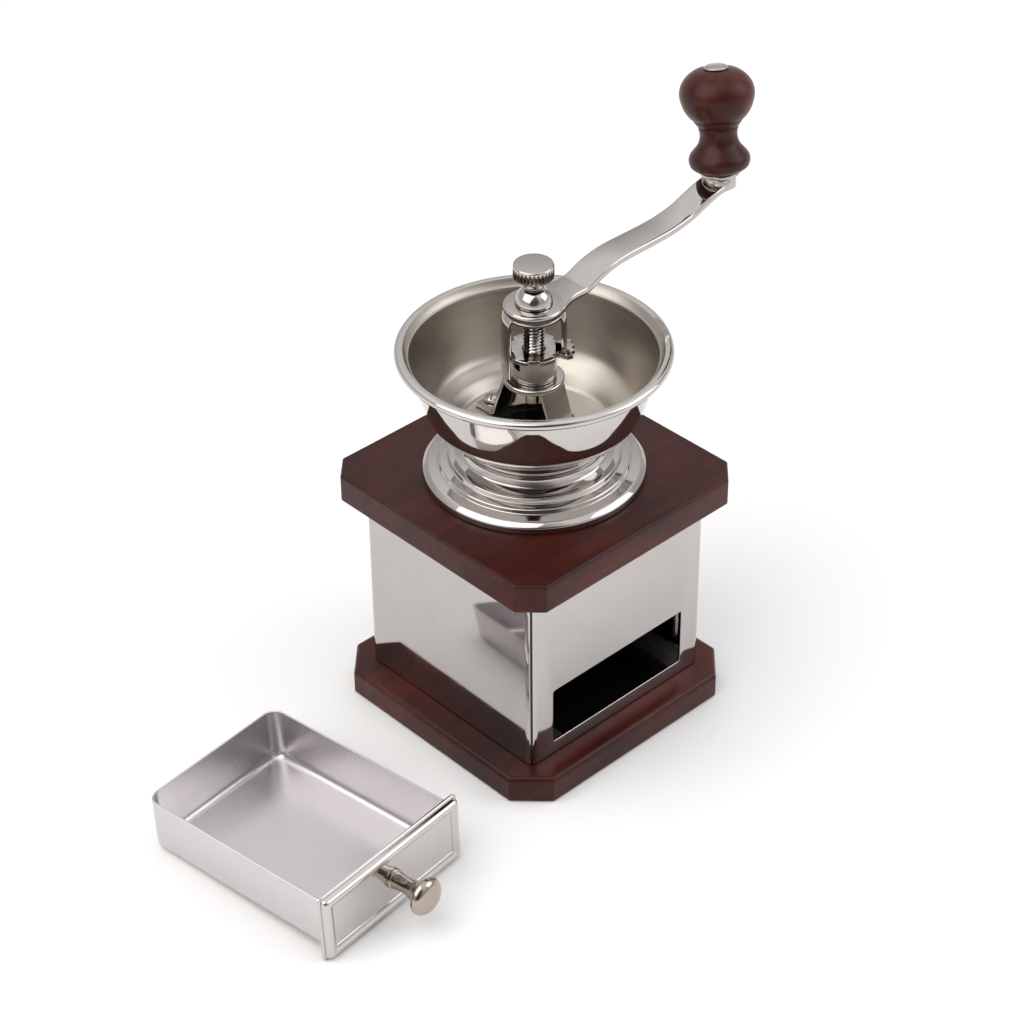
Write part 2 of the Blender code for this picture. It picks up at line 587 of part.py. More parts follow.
# ---- spindle -------------------------------------------------------------------------------
def make_shaft():
    """Shaft from the burr nut up through the bush, the adjusting nut, the arm and the thumb nut."""
    foot = CONE_BOTTOM - CLEAR - 1.5 * MM - CLEAR - BURR_NUT_HEIGHT - 2.0 * MM
    stud_top = THUMB_TOP - 2.6 * MM
    outline = [(0, stud_top), (STUD_RADIUS, stud_top), (STUD_RADIUS, HUB_TOP - 0.4 * MM),
               (THREAD_RADIUS, HUB_TOP - 0.4 * MM), (THREAD_RADIUS, NUT_BOTTOM + 1.8 * MM),
               (SHAFT_RADIUS, NUT_BOTTOM + 1.0 * MM), (SHAFT_RADIUS, foot + 0.6 * MM),
               (SHAFT_RADIUS - 0.6 * MM, foot), (0, foot)]
    turned("drive_shaft", outline, CHROME, steps=20)
    washer_top = CONE_BOTTOM - CLEAR
    washer_low = washer_top - 1.5 * MM
    washer = [(SHAFT_RADIUS + CLEAR, washer_top), (BURR_WASHER_RADIUS, washer_top),
              (BURR_WASHER_RADIUS, washer_low), (SHAFT_RADIUS + CLEAR, washer_low)]
    turned("burr_washer", washer, ZINC, closed=True, steps=24)
    nut_top = washer_low - CLEAR
    nut = cylinder("burr_nut", BURR_NUT_RADIUS, nut_top - BURR_NUT_HEIGHT, nut_top, ZINC,
                   sides=6, collection=PARTS)
    combine(nut, cylinder("burr_nut_bore", SHAFT_RADIUS + CLEAR,
                          nut_top - BURR_NUT_HEIGHT - CLEAR, nut_top + CLEAR))


def make_adjuster():
    """Thrust washer on the collar, and the adjusting nut: barrel, disc and toothed tab."""
    bore = THREAD_RADIUS + CLEAR
    low = COLLAR_TOP + CLEAR
    washer = [(bore, low + THRUST_THICK), (THRUST_RADIUS, low + THRUST_THICK),
              (THRUST_RADIUS, low), (bore, low)]
    turned("thrust_washer", washer, BRONZE, closed=True, steps=24)
    disc = NUT_BOTTOM + NUT_BARREL_HEIGHT
    outline = [(bore, NUT_TOP), (NUT_DISC, NUT_TOP), (NUT_DISC, disc), (NUT_BARREL, disc),
               (NUT_BARREL, NUT_BOTTOM), (bore, NUT_BOTTOM)]
    nut = turned("adjusting_nut", outline, CHROME, closed=True, steps=48)
    edge = [(NUT_BARREL, -NUT_TAB_HALF)]
    for tooth in range(2 * NUT_TAB_TEETH + 1):
        turn = NUT_TAB_HALF * (tooth / NUT_TAB_TEETH - 1)
        edge.append((NUT_TAB - (tooth + 1) % 2 * NUT_TOOTH_DEPTH, turn))
    edge.append((NUT_BARREL, NUT_TAB_HALF))
    tab = prism("nut_tab", [(reach * math.cos(turn + CLIP_AZIMUTH),
                             reach * math.sin(turn + CLIP_AZIMUTH)) for reach, turn in edge],
                disc, NUT_TOP)
    combine(nut, tab, "UNION")


def prism(name, outline, bottom, top):
    """An upright prism over an outline, to cut or to join."""
    bm = bmesh.new()
    face = bm.faces.new([bm.verts.new((x, y, bottom)) for x, y in outline])
    risen = bmesh.ops.extrude_face_region(bm, geom=[face])["geom"]
    corners = [part for part in risen if isinstance(part, bmesh.types.BMVert)]
    bmesh.ops.translate(bm, verts=corners, vec=(0, 0, top - bottom))
    return as_cutter(add(name, mesh_from(bm, name, smooth=False), None, CUTTERS))


def wedge(name, start, end, bottom, top):
    """An upright wedge from the axis out past the clip, between two azimuths."""
    count = 6
    turns = [start + (end - start) * step / count for step in range(count + 1)]
    rim = [(2 * CLIP_RADIUS * math.cos(turn), 2 * CLIP_RADIUS * math.sin(turn)) for turn in turns]
    return prism(name, [(0.0, 0.0)] + rim, bottom, top)


def make_clip():
    """Lock clip: a cap under the arm with a long and a short curved leg."""
    low = CLIP_TOP - CLIP_LONG_LEG
    inner = CLIP_RADIUS - CLIP_SHEET
    bore = THREAD_RADIUS + CLEAR
    under = CLIP_TOP - CLIP_SHEET
    outline = [(bore, CLIP_TOP), (CLIP_RADIUS, CLIP_TOP), (CLIP_RADIUS, low), (inner, low),
               (inner, under), (bore, under)]
    clip = turned("lock_clip", outline, CHROME, closed=True, steps=48)
    long_way = CLIP_AZIMUTH + math.pi
    short_end = NUT_TOP + CLIP_CLEAR
    combine(clip, wedge("clip_window_1", CLIP_AZIMUTH + CLIP_SHORT_HALF, long_way - CLIP_LONG_HALF,
                        low - CLEAR, under + SKIM))
    combine(clip, wedge("clip_window_2", long_way + CLIP_LONG_HALF,
                        CLIP_AZIMUTH + 2 * math.pi - CLIP_SHORT_HALF, low - CLEAR,
                        under + SKIM))
    combine(clip, wedge("clip_short_leg", CLIP_AZIMUTH - 1.2 * CLIP_SHORT_HALF,
                        CLIP_AZIMUTH + 1.2 * CLIP_SHORT_HALF, low - 2 * CLEAR, short_end))


def arm_height(share):
    """Height of the arm's upper face over the hub's, as a share of its length from hub to end.

    Two smooth rises with a long level run between them.
    """
    first = smooth_rise(share, 0.17, 0.42)
    second = smooth_rise(share, 0.68, 1.00)
    return 0.43 * first + 0.57 * second


def smooth_rise(value, start, end):
    """Zero before the start, one after the end, and a smooth step between."""
    part = min(1.0, max(0.0, (value - start) / (end - start)))
    return part * part * (3 - 2 * part)


def arm_width(share):
    """Full width of the arm: a little slimmer towards the grip."""
    return ARM_WIDTH - ARM_TAPER * smooth_rise(share, 0.2, 0.9)


def arm_end():
    """The middle of the arm's upper face under the grip."""
    return Vector((ARM_END_X, 0, HUB_TOP + ARM_RISE))


def tilted(point, along=0.0):
    """A matrix that stands at a point on the grip's leaning axis."""
    lean = Vector((0, 0, 1)).rotation_difference(Vector(GRIP_LEAN)).to_matrix().to_4x4()
    return Matrix.Translation(point) @ lean @ Matrix.Translation((0, 0, along))


def make_arm():
    """S-shaped crank arm: a bent strap with a round hub and a round pad for the grip's pin."""
    bm = bmesh.new()
    bmesh.ops.create_grid(bm, x_segments=26, y_segments=1, size=0.5)
    for corner in bm.verts:
        share = corner.co.x + 0.5
        side = corner.co.y
        reach = share * ARM_END_X
        rise = (ARM_RISE - PAD_PROUD) * arm_height(share)
        corner.co = (reach, side * arm_width(share), HUB_TOP - 0.2 * MM + rise)
    arm = add("crank_arm", mesh_from(bm, "crank_arm"), CHROME)
    body = arm.modifiers.new("thickness", "SOLIDIFY")
    body.thickness = ARM_THICK
    body.offset = -1.0
    hub = cylinder("arm_hub", HUB_RADIUS, HUB_BOTTOM, HUB_TOP, sides=40)
    combine(arm, hub, "UNION")
    pad = cylinder("arm_pad", PAD_RADIUS, -PAD_THICK, 0.0)
    pad.matrix_world = tilted(arm_end())
    combine(arm, pad, "UNION")
    combine(arm, cylinder("hub_bore", THREAD_RADIUS + CLEAR, HUB_BOTTOM - CLEAR,
                          HUB_TOP + CLEAR))
    hole = cylinder("pin_hole", GRIP_PIN + CLEAR, -2 * ARM_THICK, ARM_THICK)
    hole.matrix_world = tilted(arm_end())
    combine(arm, hole)


def make_top_nuts():
    """Domed washer on the hub and the thumb nut above it."""
    outline = [(STUD_RADIUS + CLEAR, DOME_TOP)]
    for step in range(9):
        height = DOME_TOP - DOME_HEIGHT * step / 8
        level = height - DOME_BOTTOM
        outline.append((math.sqrt(DOME_RADIUS ** 2 - level ** 2), height))
    outline.append((STUD_RADIUS + CLEAR, DOME_BOTTOM))
    turned("dome_nut", outline, CHROME, closed=True, steps=28)
    edge = 0.6 * MM
    head = THUMB_BOTTOM + THUMB_NECK_HEIGHT
    bore_top = THUMB_TOP - 2.0 * MM
    bore = STUD_RADIUS + CLEAR
    outline = [(0, THUMB_TOP), (THUMB_RADIUS - edge, THUMB_TOP), (THUMB_RADIUS, THUMB_TOP - edge),
               (THUMB_RADIUS, head + edge), (THUMB_RADIUS - 2 * edge, head), (THUMB_NECK, head),
               (THUMB_NECK, THUMB_BOTTOM), (bore, THUMB_BOTTOM), (bore, bore_top), (0, bore_top)]
    turned("thumb_nut", outline, CHROME, steps=28)


# ---- grip ----------------------------------------------------------------------------------
def make_grip():
    """Turned wooden grip on its leaning pin, with the washer under it."""
    seat = arm_end()
    low = CLEAR + GRIP_WASHER_THICK + CLEAR
    outline = [(4.8 * MM, 1.0), (8.6 * MM, 0.98), (11.8 * MM, 0.936), (13.9 * MM, 0.868),
               (GRIP_RADIUS, 0.79), (14.4 * MM, 0.73), (13.4 * MM, 0.647), (12.0 * MM, 0.588),
               (10.3 * MM, 0.539), (8.1 * MM, 0.463), (7.4 * MM, 0.36), (8.6 * MM, 0.267),
               (11.6 * MM, 0.172), (12.1 * MM, 0.123), (11.5 * MM, 0.069), (9.6 * MM, 0.025),
               (7.0 * MM, 0.0)]
    bore = GRIP_PIN + CLEAR
    profile = [(bore, low + GRIP_LENGTH)]
    profile += [(radius, low + share * GRIP_LENGTH) for radius, share in outline]
    profile += [(bore, low)]
    grip = turned("grip", profile, WOOD, closed=True, steps=32)
    grip.matrix_world = tilted(seat)
    washer_low = CLEAR
    washer = [(bore, low - CLEAR), (GRIP_WASHER, low - CLEAR), (GRIP_WASHER, washer_low),
              (bore, washer_low)]
    turned("grip_washer", washer, ZINC, closed=True, steps=24).matrix_world = tilted(seat)
    top = low + GRIP_LENGTH + CLEAR
    under = -PAD_THICK - CLEAR
    pin = [(0, top + 1.5 * MM), (GRIP_PIN_HEAD * 0.6, top + 1.3 * MM), (GRIP_PIN_HEAD, top + 0.5 * MM),
           (GRIP_PIN_HEAD, top), (GRIP_PIN, top), (GRIP_PIN, under),
           (GRIP_PIN + 1.0 * MM, under), (GRIP_PIN + 0.7 * MM, under - 1.0 * MM),
           (0, under - 1.2 * MM)]
    turned("grip_pin", pin, CHROME, steps=20).matrix_world = tilted(seat)


# ---- drawer --------------------------------------------------------------------------------
def drawer_pose():
    """An empty where the drawer lies: it rests on its front's lower edge and the tray's far end."""
    lean = math.asin(FRONT_DROP / (TRAY_LENGTH - TRAY_BOTTOM_ROUND))
    empty = bpy.data.objects.new("drawer_pose", None)
    PARTS.objects.link(empty)
    turn = Matrix.Rotation(DRAWER_YAW, 4, "Z") @ Matrix.Rotation(-lean, 4, "X")
    shift = Matrix.Translation((0, FRONT_DEPTH, FRONT_DROP))
    rest = turn @ shift
    lowest = (turn @ Vector((0, FRONT_DEPTH, 0))).z
    empty.matrix_world = Matrix.Translation((DRAWER_X, DRAWER_Y, -lowest)) @ rest
    return empty


def laid(thing, pose, turn=None):
    """Hang a piece on the drawer's pose."""
    thing.parent = pose
    if turn:
        thing.matrix_local = turn
    return thing


def rounded_loop(bm, inset, height, bends=4):
    """Corners of the tray's rounded outline, drawn in by an inset, at one height."""
    made = []
    for quarter, (sx, sy) in enumerate(((1, 1), (-1, 1), (-1, -1), (1, -1))):
        corner = TRAY_CORNER if sy > 0 else TRAY_NEAR_CORNER
        radius = max(corner - inset, TRAY_WALL)
        x = sx * (TRAY_WIDTH / 2 - inset - radius)
        y = TRAY_LENGTH - inset - radius if sy > 0 else CLEAR + inset + radius
        for step in range(bends + 1):
            turn = math.pi / 2 * (quarter + step / bends)
            made.append(bm.verts.new((x + radius * math.cos(turn), y + radius * math.sin(turn),
                                      height)))
    return made


def make_drawer():
    """Tray, pressed front, mushroom knob and its screw, in the drawer's own frame.

    There y runs from the front's back face into the tray, and z is zero under the tray's floor.
    """
    pose = drawer_pose()
    knob_height = FRONT_HEIGHT / 2 - FRONT_DROP
    bm = bmesh.new()
    bends = 3
    rings = []
    for step in range(bends + 1):
        bend = math.pi / 2 * step / bends
        inset = TRAY_BOTTOM_ROUND * (1 - math.sin(bend))
        rings.append(rounded_loop(bm, inset, TRAY_BOTTOM_ROUND * (1 - math.cos(bend))))
    rings.append(rounded_loop(bm, 0.0, TRAY_HEIGHT))
    for lower, upper in zip(rings, rings[1:]):
        for index in range(len(lower)):
            after = (index + 1) % len(lower)
            bm.faces.new((lower[index], lower[after], upper[after], upper[index]))
    bm.faces.new(rings[0][::-1])
    tray = laid(add("drawer_tray", mesh_from(bm, "drawer_tray"), SATIN), pose)
    wall = tray.modifiers.new("wall", "SOLIDIFY")
    wall.thickness = TRAY_WALL
    wall.offset = -1.0
    lying = Matrix.Rotation(math.pi / 2, 4, "X")
    hole = cylinder("tray_hole", KNOB_SCREW_RADIUS + SCREW_CLEAR, -4 * TRAY_WALL, 4 * TRAY_WALL,
                    sides=16)
    combine(tray, laid(hole, pose, Matrix.Translation((0, 0, knob_height)) @ lying))
    bm = bmesh.new()
    bmesh.ops.create_cube(bm, size=1.0)
    bmesh.ops.scale(bm, verts=bm.verts, vec=(FRONT_WIDTH, FRONT_DEPTH, FRONT_HEIGHT))
    bmesh.ops.translate(bm, verts=bm.verts,
                        vec=(0, -FRONT_DEPTH / 2, FRONT_HEIGHT / 2 - FRONT_DROP))
    across = [edge for edge in bm.edges
              if abs(edge.verts[0].co.y - edge.verts[1].co.y) > FRONT_DEPTH / 2]
    bmesh.ops.bevel(bm, geom=across, offset=FRONT_CORNER, segments=3, affect="EDGES")
    front = laid(add("drawer_front", mesh_from(bm, "drawer_front"), STEEL), pose)
    ease = front.modifiers.new("eased_edges", "BEVEL")
    ease.width = FRONT_EDGE
    ease.segments = 2
    ease.limit_method = "ANGLE"
    ease.angle_limit = math.radians(60)
    half = FRONT_WIDTH / 2 - PANEL_INSET
    panel = block("front_panel", (-half, -FRONT_DEPTH - PANEL_DEPTH, PANEL_INSET - FRONT_DROP),
                  (half, -FRONT_DEPTH + PANEL_DEPTH, FRONT_HEIGHT - PANEL_INSET - FRONT_DROP))
    combine(front, laid(panel, pose))
    hole = cylinder("front_hole", KNOB_SCREW_RADIUS + SCREW_CLEAR, -2 * FRONT_DEPTH,
                    2 * FRONT_DEPTH, sides=16)
    combine(front, laid(hole, pose, Matrix.Translation((0, 0, knob_height)) @ lying))
    seat = FRONT_DEPTH - PANEL_DEPTH + CLEAR
    tip = seat + KNOB_LENGTH
    bore = KNOB_SCREW_RADIUS + SCREW_CLEAR
    depth = seat + KNOB_BORE_DEPTH
    outline = [(0, tip), (KNOB_RADIUS * 0.55, tip - 0.5 * MM), (KNOB_RADIUS * 0.9, tip - 2.0 * MM),
               (KNOB_RADIUS, tip - 3.8 * MM), (KNOB_RADIUS * 0.86, tip - 5.2 * MM),
               (KNOB_STEM_RADIUS * 1.25, tip - 8.0 * MM), (KNOB_STEM_RADIUS, tip - 12.0 * MM),
               (KNOB_STEM_RADIUS, seat + 1.6 * MM), (KNOB_STEM_RADIUS + 0.8 * MM, seat + 1.2 * MM),
               (KNOB_STEM_RADIUS + 0.8 * MM, seat), (bore, seat), (bore, depth), (0, depth)]
    outward = Matrix.Translation((0, 0, knob_height)) @ lying
    laid(turned("drawer_knob", outline, CHROME, steps=28), pose, outward)
    head = CLEAR + TRAY_WALL + CLEAR
    outline = screw_outline(KNOB_SCREW_HEAD, 1.6 * MM, KNOB_SCREW_RADIUS, head + depth - CLEAR,
                            dome=0.8 * MM)
    screw = turned("knob_screw", outline, ZINC, steps=16)
    laid(screw, pose, outward @ Matrix.Translation((0, 0, -head)))


make_plates()
make_shell()
make_runners()
make_rods()
make_neck()
make_burrs()
make_bowl()
make_bracket()
make_shaft()
make_adjuster()
make_clip()
make_arm()
make_top_nuts()
make_grip()
make_drawer()
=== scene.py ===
"""Looks of the hand-cranked burr coffee grinder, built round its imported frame.

Lengths are in metres.  Each piece is a surface worked out with numpy from the frame's own boxes.
"""
import math

import bmesh
import bpy
import numpy as np
from mathutils import Matrix, Vector


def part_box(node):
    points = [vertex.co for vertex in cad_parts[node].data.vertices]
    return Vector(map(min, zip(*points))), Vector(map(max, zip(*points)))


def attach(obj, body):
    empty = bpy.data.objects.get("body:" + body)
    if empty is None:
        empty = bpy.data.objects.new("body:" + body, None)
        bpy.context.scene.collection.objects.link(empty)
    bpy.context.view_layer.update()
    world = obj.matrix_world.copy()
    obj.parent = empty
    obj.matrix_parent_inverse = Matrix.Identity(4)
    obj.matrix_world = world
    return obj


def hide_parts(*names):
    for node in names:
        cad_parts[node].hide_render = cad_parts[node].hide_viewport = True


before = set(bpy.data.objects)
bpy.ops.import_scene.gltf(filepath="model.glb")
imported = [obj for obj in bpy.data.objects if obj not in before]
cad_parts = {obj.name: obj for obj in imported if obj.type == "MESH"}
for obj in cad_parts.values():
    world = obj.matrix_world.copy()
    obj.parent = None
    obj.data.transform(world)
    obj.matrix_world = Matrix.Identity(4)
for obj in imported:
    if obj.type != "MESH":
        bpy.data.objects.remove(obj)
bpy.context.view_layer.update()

MM = 0.001
TAU = 2 * math.pi
THROAT = 20.4 * MM              # radius of the way down through the neck and the top plate
PAINTED_SHADE_HALF = 46.4 * MM           # half width of the base plate's painted shade, inside the housing
PAINTED_SHADE_TOP = 20 * MM              # and the height below which that shade is painted
TAB_WAY = math.radians(-43.0)   # azimuth of the adjusting nut's tab and of the clip's short leg


# ---- surfaces ------------------------------------------------------------------------------
def rounded(points, radii, steps=6, closed=False):
    """Outline with its corners rounded.

    At a corner of half angle h the arc of radius r starts r / tan(h) along each side, and its
    centre lies r / sin(h) along the line that halves the corner.
    """
    points = np.asarray(points, float)
    radii = np.broadcast_to(np.asarray(radii, float), (len(points),))
    made = []
    for index, corner in enumerate(points):
        if radii[index] <= 0 or (not closed and index in (0, len(points) - 1)):
            made.append(corner[None])
            continue
        back = points[index - 1] - corner
        ahead = points[(index + 1) % len(points)] - corner
        back = back / np.linalg.norm(back)
        ahead = ahead / np.linalg.norm(ahead)
        half = math.acos(np.clip(back @ ahead, -1, 1)) / 2
        middle = back + ahead
        centre = corner + middle / np.linalg.norm(middle) * radii[index] / math.sin(half)
        start = corner + back * radii[index] / math.tan(half) - centre
        end = corner + ahead * radii[index] / math.tan(half) - centre
        first = math.atan2(start[1], start[0])
        sweep = (math.atan2(end[1], end[0]) - first + math.pi) % TAU - math.pi
        turn = first + sweep * np.linspace(0, 1, steps + 1)
        made.append(centre + radii[index] * np.stack([np.cos(turn), np.sin(turn)], -1))
    return np.concatenate(made)


def flowing(points, count):
    """Smooth curve through points: cubic pieces whose slope at a point joins its neighbours."""
    points = np.asarray(points, float)
    ends = np.concatenate([2 * points[:1] - points[1:2], points, 2 * points[-1:] - points[-2:-1]])
    place = np.linspace(0, len(points) - 1 - 1e-9, count)
    index = place.astype(int)
    t = (place - index)[:, None]
    a, b, c, d = (ends[index + step] for step in range(4))
    return 0.5 * (2 * b + (c - a) * t + (2 * a - 5 * b + 4 * c - d) * t ** 2
                  + (3 * b - a - 3 * c + d) * t ** 3)


def loft(rings, caps=True, closed=False):
    """Skin of quads over closed rings; ends get one flat face each, or the last ring joins the first."""
    rings = np.asarray(rings, float)
    count, around = rings.shape[:2]
    index = np.arange(count * around).reshape(count, around)
    rows = np.concatenate([index, index[:1]]) if closed else index
    low, high = rows[:-1], rows[1:]
    quads = np.stack([low, np.roll(low, -1, 1), np.roll(high, -1, 1), high], -1)
    faces = quads.reshape(-1, 4).tolist()
    if caps and not closed:
        faces += [index[0][::-1].tolist(), index[-1].tolist()]
    return rings.reshape(-1, 3), faces


def lathe(profile, around=96, closed=False, reach=None):
    """Profile of (radius, height) turned about Z; reach scales the radius at each row and turn."""
    profile = np.asarray(profile, float)
    turn = np.linspace(0, TAU, around, endpoint=False)
    radius = profile[:, :1] * (np.ones((1, around)) if reach is None else reach)
    height = np.broadcast_to(profile[:, 1:2], radius.shape)
    rings = np.stack([radius * np.cos(turn), radius * np.sin(turn), height], -1)
    capped = not closed and (profile[0, 0] > 0 or profile[-1, 0] > 0)
    return loft(rings, caps=capped, closed=closed)


def stacked(outline_at, rows):
    """Loft of an outline drawn in by an inset at each height, rows of (inset, height)."""
    rings = []
    for inset, height in rows:
        flat = outline_at(inset)
        rings.append(np.column_stack([flat, np.full(len(flat), height)]))
    return rings


def bar_sections(path, side, up, width, thick, corner, steps=4):
    """Rings of a rounded rectangle carried along a path, with its own width at each point."""
    turn = np.linspace(0, math.pi / 2, steps + 1)
    turns = np.concatenate([turn + quarter * math.pi / 2 for quarter in range(4)])
    signs = np.repeat([[1, 1], [-1, 1], [-1, -1], [1, -1]], steps + 1, axis=0)
    width = np.broadcast_to(width, (len(path),))[:, None]
    thick = np.broadcast_to(thick, (len(path),))[:, None]
    across = signs[:, 0] * (width / 2 - corner) + corner * np.cos(turns)
    over = signs[:, 1] * (thick / 2 - corner) + corner * np.sin(turns)
    return path[:, None] + across[..., None] * side[:, None] + over[..., None] * up[:, None]


def bar_flat(points, turned_axis, width, thick, corner=0.4 * MM):
    """Bent strap: a filleted path in the plane of Z and one level axis, with square-set sections."""
    points = np.asarray(points, float)
    ahead = np.gradient(points, axis=0)
    ahead /= np.linalg.norm(ahead, axis=1)[:, None]
    level = np.array([1.0, 0, 0]) if turned_axis == "x" else np.array([0, 1.0, 0])
    side = np.cross([0, 0, 1.0], level)
    path = points[:, :1] * level + points[:, 1:] * np.array([0, 0, 1.0])
    up = -ahead[:, 1:] * level + ahead[:, :1] * np.array([0, 0, 1.0])
    return loft(bar_sections(path, np.broadcast_to(side, path.shape), up, width, thick, corner))


def bent_sheet(first, last, outline, around=24):
    """Curved leg: an outline in radius and height carried round the axis between two azimuths."""
    turn = np.linspace(first, last, around)
    rings = np.stack([np.cos(turn)[:, None] * outline[:, 0], np.sin(turn)[:, None] * outline[:, 0],
                      np.broadcast_to(outline[:, 1], (around, len(outline)))], -1)
    return loft(rings)


def moved(shell, matrix):
    """A shell with its points carried by a matrix."""
    points, faces = shell
    matrix = np.array(matrix)
    return points @ matrix[:3, :3].T + matrix[:3, 3], faces


# ---- pieces --------------------------------------------------------------------------------
def piece(name, shells, material, body, node=None, sharp=32, bevel=0, cutters=(),
          wear=None):
    """One finished object from its shells, riding on its body in place of its frame node."""
    points, faces, start = [], [], 0
    for shell_points, shell_faces in shells:
        points.append(shell_points)
        faces += [[corner + start for corner in face] for face in shell_faces]
        start += len(shell_points)
    mesh = bpy.data.meshes.new(name)
    mesh.from_pydata(np.concatenate(points).tolist(), [], faces)
    if wear is not None:
        layer = mesh.attributes.new("wear", "FLOAT", "POINT")
        layer.data.foreach_set("value", np.asarray(wear, np.float32))
    tidy(mesh)
    thing = bpy.data.objects.new(name, mesh)
    bpy.context.scene.collection.objects.link(thing)
    for cutter in cutters:
        carve(thing, cutter)
    if bevel:
        edge = thing.modifiers.new("edge", "BEVEL")
        edge.width = bevel
        edge.segments = 3
        edge.limit_method = "ANGLE"
        edge.angle_limit = math.radians(40)
        edge.use_clamp_overlap = True
        settle(thing)
    thing.data.shade_smooth()
    thing.data.set_sharp_from_angle(angle=math.radians(sharp))
    thing.data.materials.clear()
    thing.data.materials.append(material)
    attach(thing, body)
    if node:
        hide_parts(node)
    return thing


def lined(thing, material, inside):
    """Give the faces a test picks out, by centre and normal, a second material."""
    thing.data.materials.append(material)
    for face in thing.data.polygons:
        if inside(face.center, face.normal):
            face.material_index = 1


def tidy(mesh):
    """Merge the doubled points of seams and poles, and turn all faces outwards."""
    shape = bmesh.new()
    shape.from_mesh(mesh)
    bmesh.ops.remove_doubles(shape, verts=shape.verts, dist=1e-7)
    bmesh.ops.dissolve_degenerate(shape, edges=shape.edges, dist=1e-8)
    bmesh.ops.recalc_face_normals(shape, faces=shape.faces)
    shape.to_mesh(mesh)
    shape.free()


def settle(thing):
    """Apply a piece's modifiers to its mesh."""
    graph = bpy.context.evaluated_depsgraph_get()
    made = bpy.data.meshes.new_from_object(thing.evaluated_get(graph))
    thing.modifiers.clear()
    thing.data = made


def carve(thing, shell):
    """Cut a closed shell out of a piece."""
    points, faces = shell
    mesh = bpy.data.meshes.new("cutter")
    mesh.from_pydata(points.tolist(), [], faces)
    tidy(mesh)
    tool = bpy.data.objects.new("cutter", mesh)
    bpy.context.scene.collection.objects.link(tool)
    step = thing.modifiers.new("cut", "BOOLEAN")
    step.operation = "DIFFERENCE"
    step.solver = "EXACT"
    step.object = tool
    settle(thing)
    bpy.data.objects.remove(tool, do_unlink=True)


def plug(radius, low, high, place=(0.0, 0.0), around=48):
    """Upright cylinder used to drill a hole."""
    points, faces = lathe([(radius, high), (radius, low)], around)
    return points + np.array([place[0], place[1], 0.0]), faces


# ---- finishes ------------------------------------------------------------------------------
def node(tree, kind, links=None, **settings):
    """Add a node; links maps an input to a socket or a value."""
    made = tree.nodes.new(kind)
    for key, value in settings.items():
        setattr(made, key, value)
    for key, value in (links or {}).items():
        if isinstance(value, bpy.types.NodeSocket):
            tree.links.new(value, made.inputs[key])
        else:
            made.inputs[key].default_value = value
    return made


def ramp(tree, factor, stops):
    """Colour ramp over (place, colour) stops."""
    made = node(tree, "ShaderNodeValToRGB", {"Fac": factor})
    line = made.color_ramp
    while len(line.elements) < len(stops):
        line.elements.new(0.5)
    for element, (place, colour) in zip(line.elements, stops):
        element.position = place
        element.color = (*colour, 1.0)
    return made.outputs["Color"]


def grey(value):
    """A neutral colour."""
    return (value, value, value)


def start_finish(name, metallic, roughness, **sockets):
    """A Principled material; returns it with its tree, shader and Object coordinates."""
    made = bpy.data.materials.new(name)
    made.use_nodes = True
    tree = made.node_tree
    shader = tree.nodes["Principled BSDF"]
    shader.inputs["Metallic"].default_value = metallic
    shader.inputs["Roughness"].default_value = roughness
    for key, value in sockets.items():
        shader.inputs[key.replace("_", " ")].default_value = value
    coords = node(tree, "ShaderNodeTexCoord").outputs["Object"]
    return made, tree, shader, coords


def stretched(tree, coords, scale):
    """Coordinates scaled by its own amount along each axis."""
    return node(tree, "ShaderNodeMapping", {"Vector": coords, "Scale": scale}).outputs["Vector"]


def noise(tree, vector, scale, detail=4.0, roughness=0.55, distortion=0.0):
    """Noise value of a given number of features a metre."""
    return node(tree, "ShaderNodeTexNoise",
                {"Vector": vector, "Scale": scale, "Detail": detail, "Roughness": roughness,
                 "Distortion": distortion}).outputs["Fac"]


def bump(tree, shader, height, depth, strength=1.0):
    """Bump on the shader's normal."""
    made = node(tree, "ShaderNodeBump", {"Height": height, "Distance": depth,
                                         "Strength": strength})
    tree.links.new(made.outputs["Normal"], shader.inputs["Normal"])


def mix(tree, factor, first, second, blend="MIX"):
    """Colour mix of two sockets or colours."""
    made = node(tree, "ShaderNodeMix", {0: factor}, data_type="RGBA", blend_type=blend)
    for place, value in ((6, first), (7, second)):
        if isinstance(value, bpy.types.NodeSocket):
            tree.links.new(value, made.inputs[place])
        else:
            made.inputs[place].default_value = (*value, 1.0)
    return made.outputs[2]


